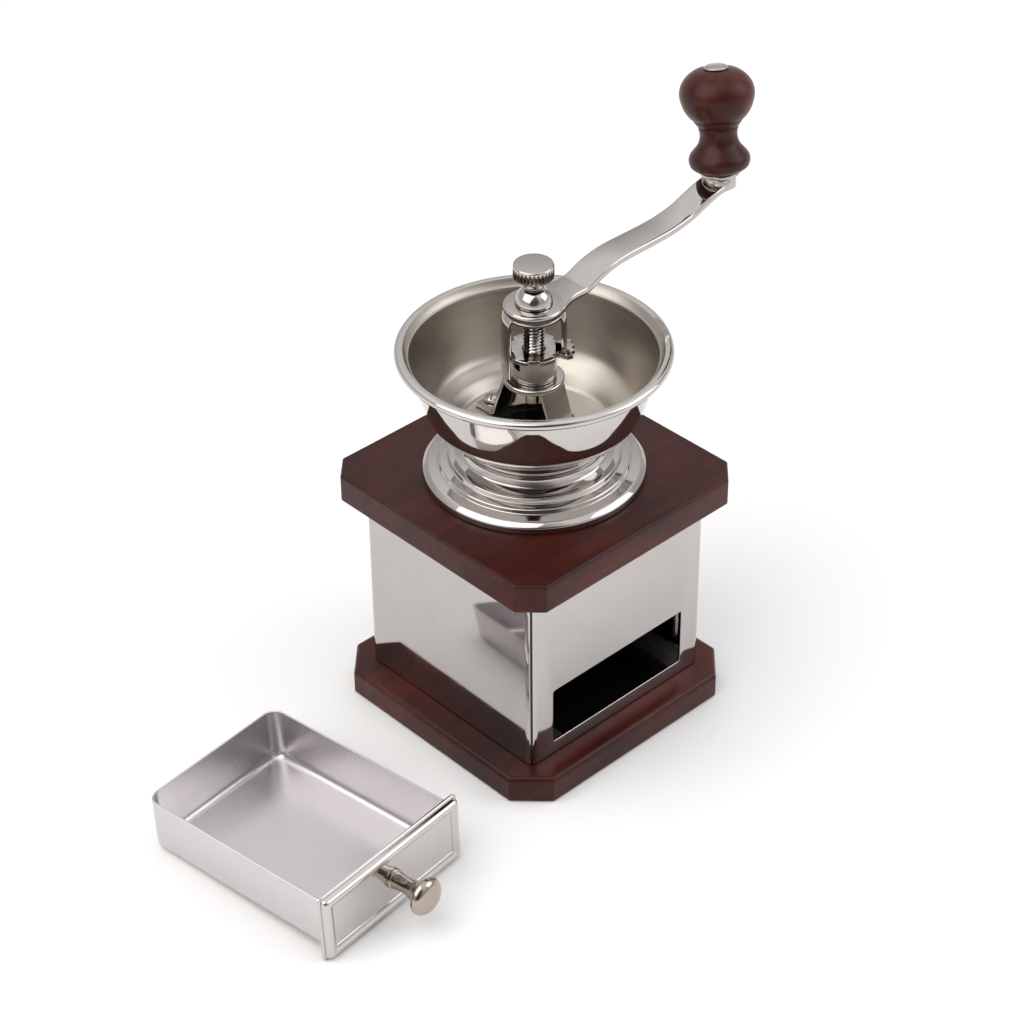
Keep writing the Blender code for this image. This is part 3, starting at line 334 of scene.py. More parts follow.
def stained_wood(name, grain, worn):
    """Dark mahogany: drifting red bands, short dark pores along the grain, and a satin coat.

    A worn one also has pale chips where the wear attribute is set, and shade painted near black inside
    the housing.
    """
    made, tree, shader, coords = start_finish(name, 0.0, 0.3, Coat_Weight=0.05,
                                              Coat_Roughness=0.22, Specular_IOR_Level=0.22)
    along = [1.0, 1.0, 1.0]
    along[grain] = 0.09
    bands = noise(tree, stretched(tree, coords, along), 70.0, 5.0, 0.6, 0.8)
    cloud = noise(tree, coords, 22.0, 3.0, 0.5, 0.3)
    along[grain] = 0.045
    pores = noise(tree, stretched(tree, coords, along), 1500.0, 2.0, 0.5)
    body = ramp(tree, bands, [(0.30, (0.028, 0.0042, 0.0030)), (0.50, (0.050, 0.0072, 0.0045)),
                              (0.70, (0.080, 0.0125, 0.0068))])
    patch = ramp(tree, cloud, [(0.35, grey(0.62)), (0.7, grey(1.3))])
    body = mix(tree, 1.0, body, patch, "MULTIPLY")
    pore_mask = ramp(tree, pores, [(0.24, grey(0.55)), (0.36, grey(0.0))])
    body = mix(tree, pore_mask, body, (0.014, 0.004, 0.004))
    if worn:
        wear = node(tree, "ShaderNodeAttribute", attribute_name="wear").outputs["Fac"]
        chips = noise(tree, coords, 420.0, 4.0, 0.7, 0.4)
        places = ramp(tree, chips, [(0.66, grey(0.0)), (0.74, grey(0.8))])
        shown = mix(tree, wear, (0.0, 0.0, 0.0), places)
        body = mix(tree, shown, body, (0.26, 0.13, 0.085))
        # painted shade: the plate's top under the housing, low down, is painted near black
        split = node(tree, "ShaderNodeSeparateXYZ", {"Vector": coords})
        sides = [node(tree, "ShaderNodeMath", {0: split.outputs[axis]}, operation="ABSOLUTE")
                 for axis in "XY"]
        far = node(tree, "ShaderNodeMath", {0: sides[0].outputs[0], 1: sides[1].outputs[0]},
                   operation="MAXIMUM").outputs[0]
        inner = node(tree, "ShaderNodeMath", {0: far, 1: PAINTED_SHADE_HALF}, operation="LESS_THAN")
        lower = node(tree, "ShaderNodeMath", {0: split.outputs["Z"], 1: PAINTED_SHADE_TOP},
                     operation="LESS_THAN")
        under = node(tree, "ShaderNodeMath", {0: inner.outputs[0], 1: lower.outputs[0]},
                     operation="MULTIPLY").outputs[0]
        body = mix(tree, under, body, (0.004, 0.003, 0.003))
    tree.links.new(body, shader.inputs["Base Color"])
    gloss = ramp(tree, noise(tree, coords, 140.0, 4.0), [(0.3, grey(0.30)), (0.7, grey(0.42))])
    tree.links.new(gloss, shader.inputs["Roughness"])
    bump(tree, shader, pore_mask, -0.00003, 0.4)
    return made


def mirror_steel(name, colour, low, high, waves):
    """Polished sheet: faint smudges in the gloss and slow waves in the surface."""
    made, tree, shader, coords = start_finish(name, 1.0, low)
    smudge = noise(tree, coords, 55.0, 5.0, 0.65, 0.5)
    specks = noise(tree, coords, 900.0, 2.0, 0.6)
    tone = ramp(tree, smudge, [(0.3, tuple(0.94 * c for c in colour)), (0.7, colour)])
    dots = ramp(tree, specks, [(0.20, grey(0.55)), (0.27, grey(1.0))])
    tree.links.new(mix(tree, 1.0, tone, dots, "MULTIPLY"), shader.inputs["Base Color"])
    tree.links.new(ramp(tree, smudge, [(0.3, grey(low)), (0.75, grey(high))]),
                   shader.inputs["Roughness"])
    bump(tree, shader, noise(tree, coords, 22.0, 1.0, 0.4), waves)
    return made


def spun_steel(name, colour, low, high):
    """Satin metal with fine lines running round the axis, from a noise of radius and height."""
    made, tree, shader, coords = start_finish(name, 1.0, low, Anisotropic=0.55)
    split = node(tree, "ShaderNodeSeparateXYZ", {"Vector": coords})
    flat = node(tree, "ShaderNodeCombineXYZ", {"X": split.outputs["X"], "Y": split.outputs["Y"]})
    radius = node(tree, "ShaderNodeVectorMath", {0: flat.outputs["Vector"]},
                  operation="LENGTH").outputs["Value"]
    rings = node(tree, "ShaderNodeCombineXYZ", {"X": radius, "Y": split.outputs["Z"]})
    lines = noise(tree, rings.outputs["Vector"], 2600.0, 3.0, 0.6)
    cloud = noise(tree, coords, 40.0, 4.0, 0.6)
    tone = ramp(tree, cloud, [(0.3, tuple(0.88 * c for c in colour)), (0.7, colour)])
    shade = ramp(tree, lines, [(0.3, grey(0.86)), (0.7, grey(1.04))])
    tree.links.new(mix(tree, 1.0, tone, shade, "MULTIPLY"), shader.inputs["Base Color"])
    tree.links.new(ramp(tree, lines, [(0.3, grey(low)), (0.7, grey(high))]),
                   shader.inputs["Roughness"])
    tangent = node(tree, "ShaderNodeTangent", direction_type="RADIAL", axis="Z")
    tree.links.new(tangent.outputs["Tangent"], shader.inputs["Tangent"])
    bump(tree, shader, lines, 0.00002, 0.5)
    return made


def brushed_sheet(name, colour, low, high, way):
    """Satin sheet with fine scratches along one axis."""
    made, tree, shader, coords = start_finish(name, 1.0, low)
    along = [1.0, 1.0, 1.0]
    along[way] = 0.03
    lines = noise(tree, stretched(tree, coords, along), 1900.0, 3.0, 0.6)
    cloud = noise(tree, coords, 45.0, 4.0, 0.6, 0.4)
    tone = ramp(tree, cloud, [(0.3, tuple(0.95 * c for c in colour)), (0.7, colour)])
    shade = ramp(tree, lines, [(0.3, grey(0.96)), (0.7, grey(1.02))])
    tree.links.new(mix(tree, 1.0, tone, shade, "MULTIPLY"), shader.inputs["Base Color"])
    tree.links.new(ramp(tree, cloud, [(0.3, grey(low)), (0.7, grey(high))]),
                   shader.inputs["Roughness"])
    bump(tree, shader, lines, 0.000006, 0.3)
    return made


def cast_metal(name, colour, roughness):
    """Rough or plated small parts: mottled colour and a fine grain."""
    made, tree, shader, coords = start_finish(name, 1.0, roughness)
    mottle = noise(tree, coords, 300.0, 4.0, 0.6)
    tree.links.new(ramp(tree, mottle, [(0.3, tuple(0.7 * c for c in colour)), (0.7, colour)]),
                   shader.inputs["Base Color"])
    tree.links.new(ramp(tree, mottle, [(0.3, grey(roughness * 0.8)), (0.7, grey(roughness * 1.3))]),
                   shader.inputs["Roughness"])
    bump(tree, shader, noise(tree, coords, 1500.0, 2.0), 0.00003, 0.5)
    return made


PLATE_WOOD = stained_wood("plate_wood", 0, True)
GRIP_WOOD = stained_wood("grip_wood", 2, False)
MIRROR = mirror_steel("mirror_steel", (0.53, 0.50, 0.49), 0.05, 0.11, 0.00025)
# painted shade: near-black metal for the housing's inside faces
PAINTED_SHADE_INSIDE = cast_metal("painted_shade_inside", (0.05, 0.045, 0.042), 0.45)
CHROME = mirror_steel("chrome_plate", (0.50, 0.465, 0.445), 0.035, 0.08, 0.00004)
OUTER = mirror_steel("polished_bowl", (0.60, 0.57, 0.545), 0.03, 0.06, 0.0001)
BOWL = spun_steel("spun_steel", (0.50, 0.46, 0.415), 0.27, 0.37)
TRAY = brushed_sheet("satin_sheet", (0.66, 0.63, 0.64), 0.26, 0.36, 1)
FRONT = mirror_steel("front_steel", (0.60, 0.57, 0.56), 0.10, 0.18, 0.0001)
BRASSY = mirror_steel("knob_plate", (0.44, 0.38, 0.33), 0.06, 0.12, 0.00004)
IRON = cast_metal("burr_iron", (0.22, 0.21, 0.20), 0.45)
ZINC = cast_metal("zinc_plate", (0.50, 0.49, 0.49), 0.28)
BRONZE = cast_metal("bush_bronze", (0.50, 0.33, 0.16), 0.35)


# ---- wooden plates -------------------------------------------------------------------------
def eight_sided(half, chamfer, round_off, inset):
    """Square outline with cut corners, drawn in by an inset.

    A cut corner loses (2 - root 2) times the inset, so every side moves in by the same amount.
    """
    half = half - inset
    chamfer = chamfer - (2 - math.sqrt(2)) * inset
    near = half - chamfer
    corners = [(half, -near), (half, near), (near, half), (-near, half), (-half, near),
               (-half, -near), (-near, -half), (near, -half)]
    return rounded(corners, round_off, 5, closed=True)


def wooden_plate(name, chamfer, lower_edge, upper_edge, cutters):
    """Plate with eased edges: quarter rounds at top and bottom between flat faces."""
    low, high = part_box(name)
    half = (high[0] - low[0]) / 2
    turn = np.linspace(0, math.pi / 2, 7)
    underside = [(6 * lower_edge, low[2]), (2.2 * lower_edge, low[2])]
    lower_round = [(lower_edge * (1 - math.sin(a)), low[2] + lower_edge * (1 - math.cos(a)))
                   for a in turn]
    side = [(0.0, low[2] + 1.8 * lower_edge), (0.0, high[2] - 1.8 * upper_edge)]
    upper_round = [(upper_edge * (1 - math.cos(a)), high[2] - upper_edge * (1 - math.sin(a)))
                   for a in turn]
    face = [(2.2 * upper_edge, high[2]), (6 * upper_edge, high[2])]
    round_off = min(0.8 * MM, 0.1 * chamfer)
    rings = stacked(lambda inset: eight_sided(half, chamfer, round_off, inset),
                    underside + lower_round + side + upper_round + face)
    worn = np.concatenate([np.full(len(rows), share) for rows, share in (
        (underside, 0.0), (lower_round, 1.0), (side, 0.0), (upper_round, 1.0), (face, 0.0))])
    wear = np.repeat(worn, len(rings[0]))
    return piece(name + "_wood", [loft(rings)], PLATE_WOOD, "housing", name,
                 cutters=cutters, wear=wear)


rod_low, rod_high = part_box("tie_rod_4")
rod_place = (rod_low[0] + rod_high[0]) / 2
rod_head = (rod_high[0] - rod_low[0]) / 2
rod_places = [(x * rod_place, y * rod_place) for x in (-1, 1) for y in (-1, 1)]
plate_low, plate_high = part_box("top_plate")
wooden_plate("base_plate", 12.5 * MM, 1.3 * MM, 2.2 * MM,
             [plug(rod_head + 0.3 * MM, -MM, 3.5 * MM, place) for place in rod_places]
             + [plug(2.3 * MM, 3 * MM, 14 * MM, place, 24) for place in rod_places])
wooden_plate("top_plate", 8.5 * MM, 0.9 * MM, 1.1 * MM,
             [plug(THROAT, plate_low[2] - MM, plate_high[2] + MM, around=96)])


# ---- housing -------------------------------------------------------------------------------
def rounded_square(half, radius, steps=12):
    """Square outline with round corners."""
    corners = [(half, -half), (half, half), (-half, half), (-half, -half)]
    return rounded(corners, radius, steps, closed=True)


def make_shell():
    """Square tube: the outline with round corners carried up its outer and down its inner side."""
    low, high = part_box("body_shell")
    half = high[0]
    wall = 0.8 * MM
    bend = 3.5 * MM
    rings = stacked(lambda inset: rounded_square(half - inset, bend - inset),
                    [(0.0, low[2]), (0.0, high[2]), (wall, high[2]), (wall, low[2])])
    slot_low = low[2] + 5.9 * MM
    slot_high = slot_low + 25.6 * MM
    across = 35.75 * MM
    face = rounded([(-across, slot_low), (across, slot_low), (across, slot_high),
                    (-across, slot_high)], 1.2 * MM, 6, closed=True)
    mouth = [np.column_stack([face[:, 0], np.full(len(face), y), face[:, 1]])
             for y in (-half - 3 * MM, -half + 3 * MM)]
    shell = piece("housing_shell", [loft(rings, closed=True)], MIRROR, "housing", "body_shell",
                  bevel=0.22 * MM, cutters=[loft(mouth)])
    deep = half - 0.9 * wall
    # the shell's inside faces get the near-black painted shade
    lined(shell, PAINTED_SHADE_INSIDE, lambda centre, way: max(abs(centre.x), abs(centre.y)) < deep)


def make_neck():
    """Stepped neck: flange, two rings, a hollow throat and a bead, turned in one profile."""
    low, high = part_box("neck_flange")
    foot = low[2]
    top = high[2]
    edge = high[0]
    profile = [(THROAT, top), (27.4 * MM, top), (28.5 * MM, top - 0.7 * MM),
               (28.5 * MM, top - 1.9 * MM), (27.4 * MM, top - 2.6 * MM), (27.2 * MM, top - 4 * MM),
               (28.3 * MM, foot + 10.4 * MM), (31.0 * MM, foot + 9.2 * MM),
               (33.3 * MM, foot + 8.9 * MM), (33.8 * MM, foot + 7.0 * MM),
               (36.9 * MM, foot + 6.5 * MM), (37.7 * MM, foot + 4.9 * MM),
               (41.6 * MM, foot + 4.3 * MM), (edge, foot + 2.6 * MM), (edge, foot),
               (THROAT, foot)]
    radii = np.array([0, 0.5, 0.6, 0.6, 0.9, 3, 1.6, 0.8, 0.7, 0.5, 0.8, 0.6, 2.4, 1.2, 0.2, 0])
    piece("neck", [lathe(rounded(profile, radii * MM, 6), 160, closed=True)], CHROME, "housing",
          "neck_flange")


def make_bowl():
    """Deep bowl with a rolled lip: one closed profile up the outside, over the lip and down."""
    low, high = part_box("hopper_bowl")
    foot, rim = low[2], high[2]
    wall = 0.9 * MM
    roll = 1.7 * MM
    edge = high[0]
    outside = flowing([(29.4 * MM, foot), (34.2 * MM, foot + 5.2 * MM), (39.6 * MM, foot + 9.6 * MM),
                       (42.6 * MM, foot + 15 * MM), (45.0 * MM, foot + 22.5 * MM),
                       (46.9 * MM, foot + 29.5 * MM), (48.1 * MM, rim - 3.9 * MM),
                       (48.9 * MM, rim - 3.1 * MM)], 48)
    turn = np.linspace(-0.42 * math.pi, 0.5 * math.pi, 12)
    lip = np.column_stack([edge - roll + roll * np.cos(turn), rim - roll + roll * np.sin(turn)])
    crown = [(49.6 * MM, rim - 0.12 * MM)]
    inside = outside[::-1] - wall * np.array([0.93, -0.4])
    inside = inside[inside[:, 1] < rim - 2.1 * MM]
    inside = inside[inside[:, 1] > foot + wall * 1.6]
    floor = [(28.2 * MM, foot + wall), (17.6 * MM, foot + wall), (17.6 * MM, foot)]
    under = [(49.9 * MM, rim - 3.3 * MM)]
    profile = np.concatenate([[(18.5 * MM, foot)], outside, under, lip, crown, inside, floor])
    bowl = piece("bowl", [lathe(profile, 192, closed=True)], BOWL, "housing", "hopper_bowl",
                 sharp=50)

    def polished(centre, way):
        """Whether a face belongs to the lip, the outside or the underside."""
        lip = centre.z > rim - 3.6 * MM and centre.xy.length > edge - 3.4 * MM
        return lip or centre.x * way.x + centre.y * way.y > 0 or way.z < -0.8

    lined(bowl, OUTER, polished)


def make_bracket():
    """Inverted U of bent strap with a round collar on top, and the two round-head screws."""
    low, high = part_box("bearing_bracket")
    thick = 1.6 * MM
    width = 12.0 * MM
    top = high[2]
    level = top - 1.2 * MM
    foot = low[2] + thick / 2
    half = [(9.6 * MM, level), (17.4 * MM, foot), (high[1], foot)]
    path = rounded([(-y, z) for y, z in half[::-1]] + half, [0, 2.2 * MM, 2 * MM, 2 * MM,
                                                            2.2 * MM, 0], 8)
    strap = bar_flat(path, "y", width, thick)
    collar = lathe(rounded([(5.3 * MM, top), (high[0], top), (high[0], top - 2.4 * MM),
                            (5.3 * MM, top - 2.4 * MM)], [0.2 * MM, 0.9 * MM, 0.9 * MM, 0.2 * MM],
                           5, closed=True), 96, closed=True)
    piece("bracket", [strap, collar], CHROME, "housing", "bearing_bracket")
    for name in ("foot_screw_front", "foot_screw_back"):
        screw_low, screw_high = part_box(name)
        radius = (screw_high[0] - screw_low[0]) / 2
        tip = screw_high[2]
        seat = tip - 2.0 * MM
        turn = np.linspace(0, math.pi / 2, 9)
        head = [(radius * math.sin(a), seat + 0.4 * MM + 1.6 * MM * math.cos(a)) for a in turn]
        shell = lathe(head + [(radius, seat), (1.7 * MM, seat), (1.7 * MM, screw_low[2]),
                              (0, screw_low[2])], 48)
        place = Matrix.Translation((0, (screw_low[1] + screw_high[1]) / 2, 0))
        bottom = tip - 0.9 * MM
        groove = loft([[(-5 * MM, y, bottom), (5 * MM, y, bottom), (5 * MM, y, bottom + 2 * MM),
                        (-5 * MM, y, bottom + 2 * MM)] for y in (-0.35 * MM, 0.35 * MM)])
        piece(name + "_head", [moved(shell, place)], CHROME, "housing", name,
              cutters=[moved(groove, place @ Matrix.Rotation(0.6, 4, "Z"))])


make_shell()
make_neck()
make_bowl()
make_bracket()


# ---- spindle -------------------------------------------------------------------------------
def make_shaft():
    """Shaft with a screw thread: the radius dips with the height less the turn's share of a pitch."""
    low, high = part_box("drive_shaft")
    around = 48
    nut_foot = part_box("adjusting_nut")[0][2]
    arm_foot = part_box("crank_arm")[0][2]
    pitch = 1.5 * MM
    plain = 3.3 * MM
    crest = 4.1 * MM
    depth = 0.8 * MM
    thread_low = nut_foot + 1.8 * MM
    thread_high = arm_foot + 3.4 * MM
    turn = np.linspace(0, TAU, around, endpoint=False)
    heights = np.linspace(thread_high, thread_low, int((thread_high - thread_low) / (pitch / 8)))
    phase = np.mod(heights[:, None] / pitch - turn / TAU, 1.0)
    dip = np.abs(phase - 0.5) * 2
    radius = crest - depth * dip ** 1.1
    radius[:3] = radius[:3].min(axis=0)     # the top rows are drawn in, where the thread ends
    thread = np.stack([radius * np.cos(turn), radius * np.sin(turn),
                       np.broadcast_to(heights[:, None], radius.shape)], -1)
    stud = lathe([(2.5 * MM, high[2]), (2.5 * MM, thread_high - MM)], around)
    rod = lathe(rounded([(0, thread_low + 0.5 * MM), (plain, thread_low + 0.5 * MM),
                         (plain, low[2] + 0.6 * MM), (plain - 0.6 * MM, low[2]), (0, low[2])],
                        0.0), around)
    piece("shaft", [loft(thread), stud, rod], CHROME, "spindle", "drive_shaft",
          sharp=50)


def make_adjuster():
    """Adjusting nut: smooth barrel, thin disc, and a tab whose edge is cut into teeth."""
    low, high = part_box("adjusting_nut")
    bore = 4.4 * MM
    barrel = 8.85 * MM
    rim = 11.0 * MM
    disc = high[2] - 1.9 * MM
    corners = [(bore, high[2]), (rim, high[2]), (rim, disc), (barrel, disc), (barrel, low[2]),
               (bore, low[2])]
    profile = rounded(corners, np.array([0.3, 0.4, 0.4, 0.3, 0.6, 0.2]) * MM, 4, closed=True)
    notches = 6
    first_notch = math.radians(227)
    turn = np.linspace(0, TAU, 192, endpoint=False)
    notch = np.clip((np.cos(notches * (turn - first_notch)) - 0.15) / 0.3, 0, 1)
    on_rim = (profile[:, 0] > 9.5 * MM)[:, None]
    body = lathe(profile, 192, closed=True, reach=1 - 0.12 * notch * on_rim)
    half = math.radians(26.0)
    teeth = 4
    root = 8.9 * MM
    edge = [(root, -half)]
    for tooth in range(2 * teeth + 1):
        edge.append(((15.6 - (tooth + 1) % 2 * 1.6) * MM, half * (tooth / teeth - 1)))
    edge.append((root, half))
    tab = [[(radius * math.cos(way + TAB_WAY), radius * math.sin(way + TAB_WAY), z)
            for radius, way in edge] for z in (disc, high[2])]
    piece("adjuster_nut", [body, loft(tab)], CHROME, "adjuster", "adjusting_nut",
          bevel=0.12 * MM)


def make_clip():
    """Lock clip: a cap under the arm, a long and a short curved leg."""
    low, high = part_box("lock_clip")
    nut_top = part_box("adjusting_nut")[1][2]
    top = high[2]
    outer = 12.6 * MM
    sheet = 1.2 * MM
    cap = lathe(rounded([(4.4 * MM, top), (11.0 * MM, top), (11.0 * MM, top - sheet),
                         (4.4 * MM, top - sheet)], np.array([0.2, 0.5, 0.1, 0.2]) * MM,
                        5, closed=True), 96, closed=True)

    def leg(foot):
        """Outline of a leg in radius and height: over the shoulder and down to its foot."""
        return rounded([(10.0 * MM, top - 0.1 * MM), (outer - 0.5 * MM, top - 0.1 * MM),
                        (outer, top - 9 * MM), (outer, foot), (outer - sheet, foot),
                        (outer - sheet, top - 9 * MM), (outer - 0.5 * MM - sheet, top - sheet),
                        (10.0 * MM, top - sheet)],
                       np.array([0, 3.0, 4.0, 0.2, 0.2, 4.0, 1.8, 0]) * MM, 6, closed=True)

    long_half = math.radians(40.0)
    short_half = math.radians(24.0)
    far = TAB_WAY + math.pi
    long_leg = bent_sheet(far - long_half, far + long_half, leg(low[2]))
    short_leg = bent_sheet(TAB_WAY - short_half, TAB_WAY + short_half, leg(nut_top + 0.6 * MM))
    piece("clip", [cap, long_leg, short_leg], CHROME, "spindle", "lock_clip",
          bevel=0.15 * MM)


HUB_TOP = 183.4 * MM
ARM_REACH = 100.9 * MM
ARM_END = (ARM_REACH, 0.0, HUB_TOP + 14.6 * MM)
LEAN = Vector((0, 0, 1)).rotation_difference(Vector((0.087, 0.185, 1.0))).to_matrix().to_4x4()
TILTED = Matrix.Translation(ARM_END) @ LEAN


def make_arm():
    """S-bent crank arm: a strap that narrows from the hub, its round hub and its end pad."""
    thick = 3.0 * MM
    x = np.array([0, 14, 19, 22, 25.5, 29.6, 33, 36, 40, 45, 56, 65.5, 72, 79.5, 85, 91, 95.5,
                  100.9])
    z = np.array([183.3, 183.3, 183.3, 183.4, 184.5, 186.3, 187.3, 188.0, 188.6, 188.9, 189.0,
                  189.2, 189.8, 191.2, 193.1, 195.2, 196.4, 197.0])
    path = flowing(np.column_stack([x * MM, z * MM - thick / 2]), 110)
    share = path[:, 0] / ARM_REACH
    step = np.clip((share - 0.2) / 0.7, 0, 1)
    near = np.clip((18 * MM - path[:, 0]) / (12 * MM), 0, 1)
    width = (13.2 - 1.2 * step * step * (3 - 2 * step) + 7.5 * near ** 2) * MM
    strap = bar_flat(path, "x", width, thick, 0.9 * MM)
    hub = lathe(rounded([(0, HUB_TOP), (11.5 * MM, HUB_TOP), (11.5 * MM, HUB_TOP - thick),
                         (0, HUB_TOP - thick)], np.array([0, 1.0, 1.0, 0]) * MM, 5), 96)
    pad = lathe(rounded([(0, 0), (6.2 * MM, 0), (6.2 * MM, -4.9 * MM), (0, -4.9 * MM)],
                        np.array([0, 0.8, 0.8, 0]) * MM, 5), 64)
    piece("arm", [strap, hub, moved(pad, TILTED)], CHROME, "spindle", "crank_arm",
          sharp=40)


def make_top_nuts():
    """Domed nut: a part of a ball; thumb nut: a plain crown over a fluted edge and a neck."""
    low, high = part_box("dome_nut")
    ball = 7.2 * MM
    turn = np.linspace(math.acos((high[2] - low[2]) / ball), math.pi / 2, 14)
    arc = [(ball * math.sin(a), low[2] + ball * math.cos(a)) for a in turn]
    piece("dome", [lathe([(2.8 * MM, high[2])] + arc + [(2.8 * MM, low[2])], 96, closed=True)],
          CHROME, "spindle", "dome_nut", sharp=40)
    low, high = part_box("thumb_nut")
    radius = high[0]
    top = high[2]
    head = top - 5.8 * MM
    crown = rounded([(0, top), (radius - 0.1 * MM, top), (radius - 0.1 * MM, top - 1.2 * MM)],
                    [0, 0.8 * MM, 0], 8)
    flutes = [(radius - 0.05 * MM, top - 1.3 * MM), (radius - 0.05 * MM, head + 0.4 * MM),
              (radius - 0.5 * MM, head)]
    neck = [(3.9 * MM, head), (3.9 * MM, low[2] + 0.3 * MM), (3.6 * MM, low[2]),
            (2.8 * MM, low[2]), (2.8 * MM, top - 2 * MM), (0, top - 2 * MM)]
    profile = np.concatenate([crown, flutes, neck])
    depth = np.zeros(len(profile))
    depth[len(crown):len(crown) + 3] = [0.055, 0.055, 0.04]
    turn = np.linspace(0, TAU, 240, endpoint=False)
    reach = 1 - depth[:, None] * (0.5 - 0.5 * np.cos(30 * turn)) ** 0.6
    piece("thumb_screw", [lathe(profile, 240, reach=reach)], CHROME, "thumb_nut", "thumb_nut",
          sharp=50)


def make_grip():
    """Turned grip: a smooth curve of radius over height with two cut grooves, on its pin."""
    low = 2.0 * MM
    top = 42.8 * MM
    knots = [(7.6, 2.0), (9.4, 2.5), (11.4, 4.1), (12.05, 6.4), (11.5, 8.6), (9.9, 10.6),
             (8.5, 12.4), (7.7, 14.2), (7.35, 16.2), (7.5, 18.1), (8.1, 20.0), (9.1, 21.7),
             (10.2, 23.1), (11.9, 25.1), (13.3, 27.5), (14.35, 30.8), (14.6, 33.6), (13.8, 36.7),
             (11.8, 39.5), (8.6, 41.8), (4.9, 42.8)]
    curve = flowing(knots, 170) * MM
    radius, height = curve.T
    for groove in (20.0 * MM, 23.1 * MM):
        radius = radius - 0.45 * MM * np.exp(-((height - groove) / (0.4 * MM)) ** 2)
    profile = np.column_stack([radius, np.clip(height, low, top)])[::-1]
    bore = 2.7 * MM
    profile = np.concatenate([[(bore, top)], profile, [(bore, low)]])
    piece("grip_wood", [moved(lathe(profile, 128, closed=True), TILTED)], GRIP_WOOD, "grip",
          "grip", sharp=45)
    washer = rounded([(bore, 1.7 * MM), (7.8 * MM, 1.7 * MM), (7.8 * MM, 0.3 * MM),
                      (bore, 0.3 * MM)], [0, 0.5 * MM, 0.5 * MM, 0], 4, closed=True)
    piece("grip_ring", [moved(lathe(washer, 64, closed=True), TILTED)], CHROME, "spindle",
          "grip_washer")
    cap = rounded([(0, top + 1.2 * MM), (3.9 * MM, top + 1.1 * MM), (4.8 * MM, top + 0.6 * MM),
                   (4.8 * MM, top + 0.3 * MM), (2.4 * MM, top + 0.3 * MM), (2.4 * MM, -5.4 * MM),
                   (3.3 * MM, -5.4 * MM), (3.1 * MM, -6.3 * MM), (0, -6.5 * MM)],
                  np.array([0, 0.8, 0.1, 0.1, 0, 0, 0.3, 0.3, 0]) * MM, 5)
    piece("grip_rod", [moved(lathe(cap, 64), TILTED)], CHROME, "spindle", "grip_pin",
          sharp=45)


make_shaft()
make_adjuster()
make_clip()
make_arm()
make_top_nuts()
make_grip()


# ---- drawer --------------------------------------------------------------------------------
FRONT_DROP = 3.2 * MM
TRAY_LENGTH = 92.5 * MM
TRAY_FOLD = 4.0 * MM
FRONT_DEPTH = 4.0 * MM
FRONT_HEIGHT = 30.3 * MM
lean = math.asin(FRONT_DROP / (TRAY_LENGTH - TRAY_FOLD))
TURNED = Matrix.Rotation(math.radians(6.2), 4, "Z") @ Matrix.Rotation(-lean, 4, "X")
lowest = (TURNED @ Matrix.Translation((0, FRONT_DEPTH, 0))).translation.z
DRAWER = (Matrix.Translation((-128.8 * MM, -60.5 * MM, 0.01 * MM - lowest)) @ TURNED
          @ Matrix.Translation((0, FRONT_DEPTH, FRONT_DROP)))


